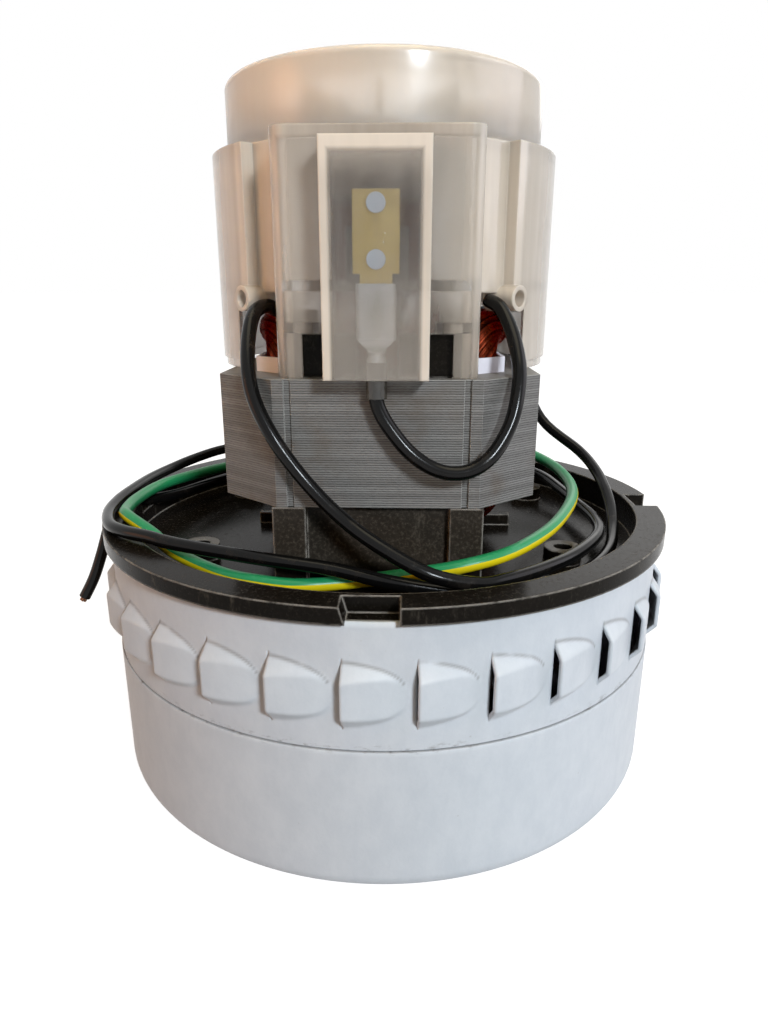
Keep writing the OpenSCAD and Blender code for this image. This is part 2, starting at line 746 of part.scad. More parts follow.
// fan cowl: round cap over the cooling fan
module fan_cowl() {
    color(milky) rotate_extrude() {
        translate([cowl_r - wall_t, hood_z]) square([wall_t, cowl_h - cowl_fillet]);
        translate([cowl_eye, cowl_z - wall_t * 0.8])
            square([cowl_r - cowl_fillet - cowl_eye, wall_t * 0.8]);
        intersection() {
            translate([cowl_r - cowl_fillet, cowl_z - cowl_fillet]) circle(cowl_fillet);
            translate([cowl_r - cowl_fillet, cowl_z - cowl_fillet]) square(cowl_fillet);
        }
        translate([cowl_r - wall_t - e, cowl_z - wall_t * 0.8])
            square([wall_t + e - cowl_fillet, wall_t * 0.8]);
    }
}

// brush gear, drawn at the front and turned half round for the rear
module brush_holder() {
    difference() {
        union() {
            box(-holder_w / 2, holder_w / 2, -holder_out, -holder_in,
                brush_z - holder_h / 2, brush_z + holder_h / 2);
            box(-plate_w / 2, plate_w / 2, -holder_out, -holder_out + holder_t,
                brush_z - plate_low, brush_z + holder_h / 2);
            box(-3, 3, -holder_out, -holder_out + holder_t, top_z + 11, brush_z);
        }
        box(-brush_w / 2 - brush_gap, brush_w / 2 + brush_gap, -holder_out + holder_t, -holder_in + 1,
            brush_z - brush_h / 2 - brush_gap, brush_z + brush_h / 2 + brush_gap);
    }
}

module brush_rivets() {
    for (z = [3.5, -6.1]) translate([0, -holder_out, brush_z + z]) rotate([90, 0, 0])
        cylinder(r = 1.75, h = 0.6);
}

module brush_terminal() {
    box(-3.8, 3.8, -holder_out - 1, -holder_out, top_z + 7, top_z + 18);
    for (a = [-1, 1]) translate([a * 3.45, 0, 0])
        box(-0.35, 0.35, -holder_out - 1, -holder_out + 1.6, top_z + 11, top_z + 18);
    box(-1.6, 1.6, -holder_out - 1, -wire_y, top_z + 6, top_z + 7 + e);
    translate([0, -wire_y, wire_z]) cylinder(r = 1.9, h = top_z + 7 - wire_z);
}

module wire_sleeve() {
    translate([0, -wire_y, 0]) ring(lead_d / 2 + 0.55, lead_d / 2 + 0.1, wire_z - 7, 7);
}

module carbon_brush() {
    difference() {
        box(-brush_w / 2, brush_w / 2, -brush_out, -comm_r + 1, brush_z - brush_h / 2, brush_z + brush_h / 2);
        translate([0, 0, brush_z - brush_h]) cylinder(r = comm_r + 0.15, h = 2 * brush_h);
    }
}

spring_y0 = brush_out + spring_d / 2 + 0.05;
spring_y1 = holder_out - holder_t - spring_d / 2 - 0.05;
function spring_at(i) = [2.3 * cos(i * 45), -spring_y0 - (spring_y1 - spring_y0) * i / (8 * spring_n),
    brush_z + 2.3 * sin(i * 45)];
spring_path = [for (i = [0:8 * spring_n]) spring_at(i)];
spring_gap = min([for (i = [0:8 * spring_n]) for (j = [i + 4:min(i + 12, 8 * spring_n)])
    if (j <= 8 * spring_n) norm(spring_path[i] - spring_path[j])]) - spring_d;
echo(spring_gap = spring_gap);

module brush_spring() {
    tube(spring_path, spring_d / 2, 6);
}

module front_brush_holder() {
    color(brass) brush_holder();
}

module rear_brush_holder() {
    color(brass) rotate(180) brush_holder();
}

module front_brush_rivets() {
    color(white) brush_rivets();
}

module rear_brush_rivets() {
    color(white) rotate(180) brush_rivets();
}

module front_brush_terminal() {
    color(bright_steel) brush_terminal();
}

module rear_brush_terminal() {
    color(bright_steel) rotate(180) brush_terminal();
}

module front_wire_sleeve() {
    color(milky) wire_sleeve();
}

module rear_wire_sleeve() {
    color(milky) rotate(180) wire_sleeve();
}

module front_brush() {
    color(carbon) carbon_brush();
}

module rear_brush() {
    color(carbon) rotate(180) carbon_brush();
}

module front_brush_spring() {
    color(bright_steel) brush_spring();
}

module rear_brush_spring() {
    color(bright_steel) rotate(180) brush_spring();
}

// rotor
shaft_end = hub1_z - washer_t - 8;
shaft_top = cowl_z - 2;

module shaft() {
    color(bright_steel) {
        translate([0, 0, shaft_end]) cylinder(d = fan_shaft_d, h = lb_z - shaft_end + e);
        translate([0, 0, lb_z]) cylinder(d = shaft_d, h = ub_z - lb_z);
        translate([0, 0, ub_z - e]) cylinder(r = ub_in, h = shaft_top - ub_z + e);
    }
}

module slot_plan(g) {
    for (i = [0:slots - 1]) rotate(i * 360 / slots) translate([bore_gap - 5.5, 0])
        square([7 - 2 * g, 2.4 - 2 * g], center = true);
}

module armature_core() {
    color(steel) translate([0, 0, stack_z]) linear_extrude(stack_h) difference() {
        circle(bore_gap);
        circle(d = shaft_d);
        slot_plan(0);
        for (i = [0:slots - 1]) rotate(i * 360 / slots) translate([bore_gap - 1, 0])
            square([4, 0.9], center = true);
    }
}

module armature_winding() {
    color(copper) {
        translate([0, 0, stack_z - 1]) linear_extrude(stack_h + 2) slot_plan(0.15);
        for (z = [stack_z - 6, top_z]) ring(bore_gap - 2, shaft_d / 2 + 3, z, 6);
        ring(bore_gap - 5, shaft_d / 2 + 3, top_z + 6 - e, 5);
        ring(comm_r, shaft_d / 2 + 3, top_z + 11 - 2 * e, comm_z - top_z - 11);
    }
}

module commutator() {
    color(copper) difference() {
        union() {
            ring(comm_r, shaft_d / 2, comm_z, comm_h);
            ring(comm_r + 1.2, shaft_d / 2, comm_z, 2);
        }
        for (i = [0:slots - 1]) rotate(i * 360 / slots)
            box(comm_r - 0.8, comm_r + 3, -0.25, 0.25, comm_z + 2.5, comm_z + comm_h + 1);
    }
}

blade_p = polar(blade_in, 0);
blade_q = polar(impeller_r - 1, 48);
blade_c = arc_centre(blade_p, blade_q, 44);

module impeller_blades(eye, hub) {
    intersection() {
        for (i = [0:blades - 1]) rotate(i * 360 / blades) translate(blade_c)
            rotate(heading(blade_p - blade_c))
            rotate_extrude(angle = heading(blade_q - blade_c) - heading(blade_p - blade_c))
            translate([44, eye - 2]) square([plate_t, hub - eye + 2]);
        rotate_extrude() polygon([[blade_in - 2, eye + sheet_t - 2 * tip_rise / (impeller_r - blade_in)],
            [impeller_r, eye + sheet_t + tip_rise], [impeller_r, hub], [blade_in - 2, hub]]);
    }
}

module shroud(eye) {
    rotate_extrude() polygon([[blade_in - 1, eye], [blade_in - 1, eye + sheet_t],
        [blade_in, eye + sheet_t], [impeller_r, eye + sheet_t + tip_rise], [impeller_r, eye + tip_rise],
        [blade_in, eye]]);
}

module first_hub_plate() {
    color(alloy) ring(impeller_r, fan_shaft_d / 2, hub1_z, plate_t);
}

module first_blades() {
    color(alloy) impeller_blades(eye1_z, hub1_z);
}

module first_shroud() {
    color(alloy) shroud(eye1_z);
}

module second_hub_plate() {
    color(alloy) ring(impeller_r, fan_shaft_d / 2, hub2_z, plate_t);
}

module second_blades() {
    color(alloy) impeller_blades(eye2_z, hub2_z);
}

module second_shroud() {
    color(alloy) shroud(eye2_z);
}

module impeller_spacers() {
    color(bright_steel) {
        ring(spacer_r, fan_shaft_d / 2, hub1_z + plate_t, hub2_z - washer_t - hub1_z - plate_t);
        ring(spacer_r, fan_shaft_d / 2, hub2_z + plate_t, lb_z - hub2_z - plate_t);
    }
}

module impeller_washers() {
    color(bright_steel) {
        ring(washer_r, fan_shaft_d / 2, hub1_z - washer_t, washer_t);
        ring(washer_r, fan_shaft_d / 2, hub2_z - washer_t, washer_t);
    }
}

module impeller_nut() {
    color(bright_steel) translate([0, 0, hub1_z - washer_t - 6.5]) difference() {
        cylinder(r = 7.5, h = 6.5, $fn = 6);
        translate([0, 0, -1]) cylinder(d = fan_shaft_d, h = 9);
    }
}

module cooling_fan() {
    color(white) {
        ring(ub_in + 1.7, ub_in, hood_z, 3);
        ring(cooler_r, ub_in, hood_z + 2.5, 1.5);
        ring(9, ub_in, hood_z + 2.5, 7.5);
        for (i = [0:cooler_blades - 1]) rotate(i * 360 / cooler_blades)
            box(8, cooler_r - 1, -0.7, 0.7, hood_z + 3, hood_z + 10.5);
    }
}

module cooling_fan_clip() {
    color(bright_steel) ring(7, ub_in, hood_z + 10, 0.8);
}

// earth terminal on the back of the stator
earth_x = 8;
earth_z = stack_z + 16;

module earth_terminal() {
    color(bright_steel) difference() {
        union() {
            translate([earth_x, stack_y, earth_z]) rotate([-90, 0, 0]) cylinder(r = 4, h = 0.8);
            box(earth_x - 2, earth_x + 2, stack_y, stack_y + 0.8, earth_z - 7.5, earth_z);
            translate([earth_x, stack_y + 2.1, earth_z - 12]) cylinder(r = 2, h = 6);
        }
        translate([earth_x, stack_y - 1, earth_z]) rotate([-90, 0, 0]) cylinder(d = 4, h = 5);
    }
}

module earth_screw() {
    color(bright_steel) translate([earth_x, win_y + 2, earth_z]) rotate([-90, 0, 0]) {
        cylinder(d = 4, h = yoke_y - 1.2);
        translate([0, 0, yoke_y - 1.2]) cylinder(r = 3.4, h = 2.2);
    }
}

// leads: each route is a smooth curve through points, lifted with the tray and the stack
lead_tray = 57;
lead_stack = 101.3;
lead_low = 66;
lead_rise = 30;
function lifted(p) = p + [0, 0, floor_z - lead_tray
    + (top_z - floor_z - lead_stack + lead_tray) * min(max((p.z - lead_low) / lead_rise, 0), 1)];
function between(a, b, c, d, t) = (2 * b + (c - a) * t + (2 * a - 5 * b + 4 * c - d) * t * t
    + (3 * b - a - 3 * c + d) * t * t * t) / 2;
function smooth(p, k) = let (n = len(p) - 1) concat([for (i = [0:n - 1]) for (j = [0:k - 1])
    between(i > 0 ? p[i - 1] : 2 * p[0] - p[1], p[i], p[i + 1], i < n - 1 ? p[i + 2] : 2 * p[n] - p[n - 1],
        j / k)], [p[n]]);
jumper_points = [[0, -48.2, 105], [0, -48.2, 101], [0, -48.2, 97.5], [1.2, -48.5, 94.4],
    [3.5, -48.9, 91], [6.5, -49.4, 87.6], [10.2, -50, 85], [14.2, -50.4, 83.7], [18.2, -50.2, 84],
    [21.8, -49.4, 86], [24.6, -47.8, 89.2], [26.8, -46, 93.4], [27.9, -44.2, 97.8], [28.4, -42, 102.2],
    [28.1, -39.2, 106.2], [27.3, -36.4, 109.8], [26.1, -33.7, 113], [24.8, -31.2, 115.1],
    [22.9, -28.6, 116.2]];
live_points = [[-22, -26.5, 113.8], [-24.2, -30, 115], [-26, -35.4, 113.2], [-26.3, -41, 106.6],
    [-24.9, -45.6, 98.6], [-20.6, -48.4, 90.2], [-14.2, -49.6, 81.5], [-6.5, -51.8, 74.2],
    [1.8, -55, 69.1], [11.2, -57, 64.6], [20.5, -55.2, 62.2], [26, -52.6, 62], [34, -46.8, 62],
    [42.4, -38.6, 62], [49.6, -28.2, 62], [53.6, -18.8, 61.8], [54.8, -8, 61.7], [53.6, 3.8, 61.7],
    [51.6, 17, 62.2], [48.4, 29, 63.2], [43.2, 38, 63.5], [36, 45.5, 63], [27.5, 51, 62.5],
    [17.5, 55, 62], [7, 57.3, 62], [-4, 57.6, 62], [-15, 55.8, 62], [-25.5, 51.6, 62], [-35, 45.5, 62],
    [-43, 38, 62], [-50, 29, 62], [-55.8, 18.4, 62], [-60.2, 8.8, 62.2], [-65, 2.4, 62.6],
    [-70, -0.6, 62.7], [-74, -3, 59.6], [-76.8, -7, 49.5], [-79, -8.6, 43.2], [-82.2, -10, 37]];
neutral_points = [[22, 26.5, 113], [24.5, 30, 113.6], [27.7, 33.5, 113], [34.8, 37.8, 106],
    [41, 38, 94.5], [47.5, 33, 80.5], [57, 21.5, 73], [60, 12.5, 69.2], [60.6, 3, 65.8], [60, -6, 62.6],
    [58.2, -14.5, 60], [55.2, -23.5, 58.8], [49.4, -34, 58.7], [42, -42.8, 58.7], [33, -48.6, 58.7],
    [24.5, -51.6, 58.7], [15.8, -52.6, 59.4], [3, -53, 61.4], [-9.6, -50.4, 63.2], [-24.6, -48, 64.4],
    [-43.6, -42.6, 65.4], [-50.6, -40.2, 66.2], [-57.4, -36.6, 66.2], [-62.8, -31.2, 66],
    [-67, -21.6, 66], [-68.8, -10.6, 66], [-68.9, 1, 66], [-68.3, 12, 66], [-65.8, 23, 66.3],
    [-60.8, 32.8, 67.4], [-53.6, 40.8, 68.6], [-44.4, 47.6, 68.6], [-33.4, 52.8, 67.6],
    [-21.6, 56.4, 66.4], [-10, 58.4, 65.8]];
earth_points = [[8, 47.9, 79], [8.06, 47.92, 76.8], [8.6, 48.1, 74.2], [10.2, 48.7, 71.8],
    [12.8, 49.5, 70.3], [16, 50.3, 69.9], [20, 50.7, 70], [27.6, 48.4, 70.3], [35, 43.6, 70.4],
    [42, 37, 70], [47, 29, 69], [50.2, 19.6, 68.2], [51.2, 8.4, 67.5], [50.2, -2.8, 67],
    [46.8, -14.4, 66.5], [40.2, -29, 66], [33, -39.6, 65.5], [25.6, -47, 65], [17.2, -50, 63.8],
    [9, -49.4, 62], [-4, -47.2, 59.2], [-16, -49.8, 59.2], [-24.6, -49, 59.6], [-34, -45, 59.8],
    [-46.6, -36.2, 61.2], [-52.6, -32.6, 64.4], [-60.4, -26.4, 66.6], [-63.2, -20.2, 66.2],
    [-64.4, -9.6, 66], [-62.8, 4.6, 66], [-57.4, 16, 66], [-50.4, 26, 66], [-35, 41.5, 65.8],
    [-26, 47.8, 65.6], [-16, 52.2, 65.4]];

module lead(points) {
    tube(smooth([for (p = points) lifted(p)], 2), lead_d / 2, 8);
}

module front_jumper() {
    color(lead_black) lead(jumper_points);
}

module rear_jumper() {
    color(lead_black) rotate(180) lead(jumper_points);
}

module live_lead() {
    color(lead_black) lead(live_points);
}

module neutral_lead() {
    color(lead_black) lead(neutral_points);
}

module earth_lead() {
    color(lead_green) lead(earth_points);
}

lower_fan_shell();
upper_fan_shell();
stage_plate();
baffle_plate();
return_vanes();
fan_end_bracket();
bearing_retainer();
retainer_screws();
lower_bearing_outer();
lower_bearing_balls();
lower_bearing_inner();
upper_bearing_outer();
upper_bearing_balls();
upper_bearing_inner();
stator_core();
stator_screws();
left_coil_core();
right_coil_core();
left_coil_winding();
right_coil_winding();
slot_liners();
upper_insulators();
brush_bracket();
fan_cowl();
front_brush_holder();
rear_brush_holder();
front_brush_rivets();
rear_brush_rivets();
front_brush_terminal();
rear_brush_terminal();
front_wire_sleeve();
rear_wire_sleeve();
front_brush();
rear_brush();
front_brush_spring();
rear_brush_spring();
shaft();
armature_core();
armature_winding();
commutator();
first_hub_plate();
first_blades();
first_shroud();
second_hub_plate();
second_blades();
second_shroud();
impeller_spacers();
impeller_washers();
impeller_nut();
cooling_fan();
cooling_fan_clip();
earth_terminal();
earth_screw();
front_jumper();
rear_jumper();
live_lead();
neutral_lead();
earth_lead();
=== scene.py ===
"""Visual model of a two-stage vacuum motor unit, dressed over its CAD frame. Metres, Z up along the shaft."""
import json
import math

import bpy
import numpy as np
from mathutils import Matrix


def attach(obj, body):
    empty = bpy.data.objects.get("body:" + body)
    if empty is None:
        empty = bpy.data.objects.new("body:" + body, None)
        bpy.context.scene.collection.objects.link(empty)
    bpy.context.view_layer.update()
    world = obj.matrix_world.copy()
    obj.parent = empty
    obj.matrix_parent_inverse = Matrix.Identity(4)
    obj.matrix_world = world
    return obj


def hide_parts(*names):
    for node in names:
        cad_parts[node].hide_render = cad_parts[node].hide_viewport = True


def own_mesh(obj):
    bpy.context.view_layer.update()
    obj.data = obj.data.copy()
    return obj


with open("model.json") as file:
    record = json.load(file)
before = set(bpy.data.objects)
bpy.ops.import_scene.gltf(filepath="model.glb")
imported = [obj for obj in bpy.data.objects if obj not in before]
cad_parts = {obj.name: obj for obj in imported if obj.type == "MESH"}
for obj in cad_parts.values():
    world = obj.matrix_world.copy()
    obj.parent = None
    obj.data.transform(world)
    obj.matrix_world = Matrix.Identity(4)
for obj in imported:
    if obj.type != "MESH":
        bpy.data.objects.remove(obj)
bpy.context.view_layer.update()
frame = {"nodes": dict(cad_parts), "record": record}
MM = 0.001
TURN = 2 * math.pi

# Sizes and heights of the CAD that several finishes or pieces refer to, in millimetres
CAN_R, CAN_H, SHEET = 70.6, 33.5, 0.8
SEAM_Z = 33.62
BOSS_X, BOSS_TOP = 43.0, 60.5
PEDESTALS_BELOW = 80.0
HOOD_TOP, COWL_TOP = 147.0, 162.0
BRUSH_Z, HOLDER_END = 129.6, 48.2
LEAD_R = 1.5


# ---------------------------------------------------------------- shader terms and finishes
class Term:
    """A shader value that takes part in Python sums: each operator adds one Math node."""

    def __init__(self, shader, socket):
        self.shader = shader
        self.socket = socket

    def __add__(self, other):
        return self.shader.maths("ADD", self, other)

    def __sub__(self, other):
        return self.shader.maths("SUBTRACT", self, other)

    def __rsub__(self, other):
        return self.shader.maths("SUBTRACT", other, self)

    def __mul__(self, other):
        return self.shader.maths("MULTIPLY", self, other)

    def __abs__(self):
        return self.shader.maths("ABSOLUTE", self)

    __radd__ = __add__
    __rmul__ = __mul__


def srgb(r, g, b):
    """A colour written in screen bytes, as linear light."""
    return tuple(((c / 255 + 0.055) / 1.055) ** 2.4 if c > 10 else c / 255 / 12.92
                 for c in (r, g, b)) + (1.0,)


class Shader:
    """The node tree of a world or material. node() adds any node."""

    def __init__(self, owner):
        owner.use_nodes = True
        self.tree = owner.node_tree
        self.tree.nodes.clear()

    def node(self, kind, settings=None, values=None, out=0):
        """Adds one node: settings are set first, then each socket takes a value or a link."""
        made = self.tree.nodes.new(kind)
        for key, value in (settings or {}).items():
            setattr(made, key, value)
        for key, value in (values or {}).items():
            if isinstance(value, Term):
                self.tree.links.new(value.socket, made.inputs[key])
            else:
                made.inputs[key].default_value = value
        return Term(self, made.outputs[out])

    def maths(self, operation, *values):
        return self.node("ShaderNodeMath", {"operation": operation}, dict(enumerate(values)))

    def seen(self):
        """1 for rays that show a surface to the eye: straight, mirrored or through clear walls. Else 0."""
        rays = self.node("ShaderNodeLightPath").socket.node.outputs
        seen = Term(self, rays["Is Camera Ray"])
        for kind in ("Is Transmission Ray", "Is Glossy Ray"):
            seen = self.maths("MAXIMUM", seen, Term(self, rays[kind]))
        return seen

    def close(self, skin, kind="ShaderNodeOutputMaterial"):
        """Puts a shader on the tree's output."""
        output = self.tree.nodes.new(kind)
        self.tree.links.new(skin.socket, output.inputs["Surface"])


class Finish(Shader):
    """A node material with the few patterns used on this motor."""

    def __init__(self, name):
        self.material = bpy.data.materials.new(name)
        super().__init__(self.material)
        here = self.node("ShaderNodeTexCoord", out="Object")
        self.mm = self.node("ShaderNodeVectorMath", {"operation": "SCALE"}, {0: here, "Scale": 1 / MM})
        self.x, self.y, self.z = self.split(self.mm)

    def split(self, vector):
        """The three numbers of a vector."""
        parts = self.node("ShaderNodeSeparateXYZ", None, {0: vector})
        return [Term(self, s) for s in parts.socket.node.outputs]

    def stretch(self, x, y, z):
        """Object place in millimetres, times a factor on each axis."""
        return self.node("ShaderNodeVectorMath", {"operation": "MULTIPLY"}, {0: self.mm, 1: (x, y, z)})

    def noise(self, scale, detail=3.0, rough=0.5, at=None, seed=0.0):
        return self.node("ShaderNodeTexNoise", {"noise_dimensions": "4D"}, {
            "Vector": at or self.mm, "W": seed, "Scale": scale, "Detail": detail, "Roughness": rough})

    def step(self, value, low, high):
        """Smooth step from 0 at low to 1 at high; low may lie above high."""
        return self.node("ShaderNodeMapRange", {"interpolation_type": "SMOOTHSTEP"},
                         {"Value": value, "From Min": low, "From Max": high})

    def mix(self, share, first, second):
        return self.node("ShaderNodeMix", {"data_type": "RGBA"}, {0: share, 6: first, 7: second}, 2)

    def mark(self, name):
        """A number stored on the piece's points."""
        return self.node("ShaderNodeAttribute", {"attribute_name": name}, None, "Fac")

    def facing(self):
        """The surface's own direction."""
        return self.node("ShaderNodeNewGeometry", None, None, "Normal")

    def soft_edge(self, radius):
        """Rounded normal at edges, and how far it leans from the flat one (0 to about 0.3)."""
        rounded = self.node("ShaderNodeBevel", {"samples": 6}, {"Radius": radius * MM})
        lean = self.node("ShaderNodeVectorMath", {"operation": "DOT_PRODUCT"},
                         {0: rounded, 1: self.facing()}, 1)
        return rounded, 1 - lean

    def bump(self, height, depth, normal=None):
        """Raises the surface by height times depth millimetres."""
        values = {"Height": height, "Distance": depth * MM, "Strength": 1.0}
        if normal:
            values["Normal"] = normal
        return self.node("ShaderNodeBump", None, values)

    def surface(self, sockets):
        """Puts a Principled surface on the output and returns the material."""
        self.close(self.node("ShaderNodeBsdfPrincipled", None, sockets))
        return self.material


def shell_paint():
    """Pale grey satin paint on drawn sheet: faint clouds and mottle, fine peel, dirt smudges and a dark line at
    the seam, and a thin dark line along each louvre's head crease."""
    f = Finish("shell_paint")
    cloud = f.noise(0.045, 3.0)
    grit = f.noise(0.9, 5.0, 0.7)
    near_seam = f.step(abs(f.z - (SEAM_Z + 0.38)), 1.5, 0.2)
    smear = near_seam * f.step(f.noise(0.4, 5.0, 0.7, at=f.stretch(1.0, 1.0, 2.5)), 0.50, 0.72)
    joint = f.step(abs(f.z - SEAM_Z), 0.30, 0.08) * 0.45
    # dirt smudges near the seam, the dark seam line, and a thin dark line along each louvre's head crease
    dark_marks = smear * 0.5 + joint + f.mark("dark_marks") * f.step(f.noise(0.16, 3.0), 0.22, 0.50)
    spots = f.step(f.noise(0.8, 2.0, 0.5, seed=3.0), 0.75, 0.80) * 0.3
    mottle = f.step(f.noise(0.22, 6.0, 0.65, at=f.stretch(1.0, 1.0, 0.6), seed=9.0), 0.30, 0.70)
    base = f.mix(cloud * 0.6 + mottle * 0.4, srgb(198, 203, 209), srgb(218, 221, 225))
    base = f.mix(dark_marks, base, srgb(92, 84, 74))
    base = f.mix(spots, base, srgb(160, 156, 150))
    peel = f.noise(1.3, 2.0) + f.noise(0.25, 2.0) * 2.0
    return f.surface({"Base Color": base, "Roughness": 0.38 + 0.14 * grit, "Normal": f.bump(peel, 0.03),
                      "Specular IOR Level": 0.22})


def bracket_black():
    """Black moulding: brown cast, dust, scuffs on upright faces, grey wear along edges and on the bosses, and
    the pedestals between tray and stack lightened to brown-grey by dust and by a painted sheen."""
    f = Finish("bracket_black")
    rounded, lean = f.soft_edge(0.7)
    up = f.step(f.split(f.facing())[2], 0.5, 0.95)
    cloud = f.noise(0.07, 4.0)
    dust = f.step(f.noise(1.3, 6.0, 0.75), 0.44, 0.76)
    scuff = f.step(f.noise(0.35, 6.0, 0.7, at=f.stretch(1.0, 1.0, 0.35), seed=8.0), 0.55, 0.75)
    fleck = f.step(f.noise(1.6, 2.0, seed=5.0), 0.70, 0.76)
    worn = f.step(lean, 0.012, 0.10) * f.step(f.noise(0.30, 5.0, 0.65, seed=2.0), 0.28, 0.56)
    base = f.mix(cloud, srgb(11, 10, 8), srgb(26, 21, 16))
    base = f.mix(dust * (0.05 + 0.05 * up) + scuff * (0.30 - 0.18 * up), base, srgb(118, 110, 98))
    tall = f.step(f.z, BOSS_TOP, BOSS_TOP + 2.5) * f.step(f.z, PEDESTALS_BELOW, PEDESTALS_BELOW - 2.0)
    pedestal_sheen_and_dust = (1 - up) * tall * f.step(abs(f.x), 36.0, 35.0) * f.step(abs(f.y), 52.0, 50.0)
    # painted sheen and dust: the pedestals' upright faces are lightened to brown-grey, by a fixed share and
    # more where dust falls
    base = f.mix(pedestal_sheen_and_dust * (0.10 + 0.26 * dust), base, srgb(124, 114, 102))
    base = f.mix(fleck * 0.10 * up, base, srgb(165, 158, 146))
    base = f.mix(worn * 0.75, base, srgb(172, 165, 156))
    boss = up * f.step(abs(f.z - BOSS_TOP), 0.35, 0.15) * f.step(abs(abs(f.x) - BOSS_X), 5.0, 4.6)
    base = f.mix(boss * 0.55, base, srgb(128, 122, 114))
    grain = f.noise(2.4, 3.0) + dust * 0.4
    return f.surface({"Base Color": base, "Roughness": 0.18 + 0.22 * dust + 0.2 * scuff,
                      "Normal": f.bump(grain, 0.006, rounded), "Specular IOR Level": 0.05})


def laminations():
    """Stack of half-millimetre sheets: a line at each joint, a tone for each sheet, brown stains, bright
    edges."""
    f = Finish("laminations")
    rounded, lean = f.soft_edge(0.25)
    sheets = f.z * 2.0
    sheet, within = f.maths("FLOOR", sheets), f.maths("FRACT", sheets)
    joint = f.step(abs(within - 0.5), 0.24, 0.46)
    tone = f.node("ShaderNodeTexWhiteNoise", {"noise_dimensions": "1D"}, {"W": sheet})
    burr = f.noise(1.0, 2.0, at=f.stretch(1.2, 1.2, 3.0))
    stain = f.step(f.noise(0.075, 4.0, 0.6, seed=4.0), 0.47, 0.72)
    bright = f.step(lean, 0.02, 0.15)
    base = f.mix(tone * 0.45 + burr * 0.55, srgb(98, 96, 94), srgb(140, 138, 135))
    base = f.mix(joint * (0.30 + 0.5 * f.step(burr, 0.35, 0.65)), base, srgb(44, 42, 40))
    base = f.mix(stain * 0.42, base, srgb(92, 74, 54))
    base = f.mix(bright * 0.6, base, srgb(205, 203, 198))
    height = (1 - joint) + burr * 0.5
    return f.surface({"Base Color": base, "Metallic": 0.15, "Roughness": 0.42 + 0.18 * stain,
                      "Normal": f.bump(height, 0.05, rounded), "Specular IOR Level": 0.2})


def enamelled_copper():
    """Dark red enamel over copper wire, with each wire in its own tone."""
    f = Finish("enamelled_copper")
    tone = f.mark("wire_tone")
    scrape = f.noise(0.8, 4.0, 0.6)
    base = f.mix(tone, srgb(58, 20, 12), srgb(176, 80, 50))
    base = f.mix(f.step(scrape, 0.66, 0.8) * 0.12, base, srgb(206, 112, 72))
    return f.surface({"Base Color": base, "Metallic": 1.0, "Roughness": 0.20 + 0.16 * scrape,
                      "Specular Tint": srgb(168, 84, 58)})


def bare_metal(name, dark, light, rough, metallic, grain=(0.4, 0.4, 2.5), stain=0.15, edge=0.3):
    """Worn bare metal: fine drawn grain along one axis, faint stains, brighter edges, and painted shade in grey
    where a piece marks it.
    """
    f = Finish(name)
    rounded, lean = f.soft_edge(edge)
    lines = f.noise(1.0, 4.0, 0.6, at=f.stretch(*grain))
    spoil = f.step(f.noise(0.16, 4.0), 0.5, 0.75)
    base = f.mix(lines, dark, light)
    base = f.mix(spoil * stain, base, srgb(74, 62, 48))
    base = f.mix(f.step(lean, 0.02, 0.15) * 0.4, base, light)
    # painted shade: a flat grey where the piece marks it
    base = f.mix(f.mark("painted_shade"), base, srgb(92, 88, 84))
    return f.surface({"Base Color": base, "Metallic": metallic, "Roughness": rough + 0.16 * lines,
                      "Normal": f.bump(lines, 0.012, rounded)})


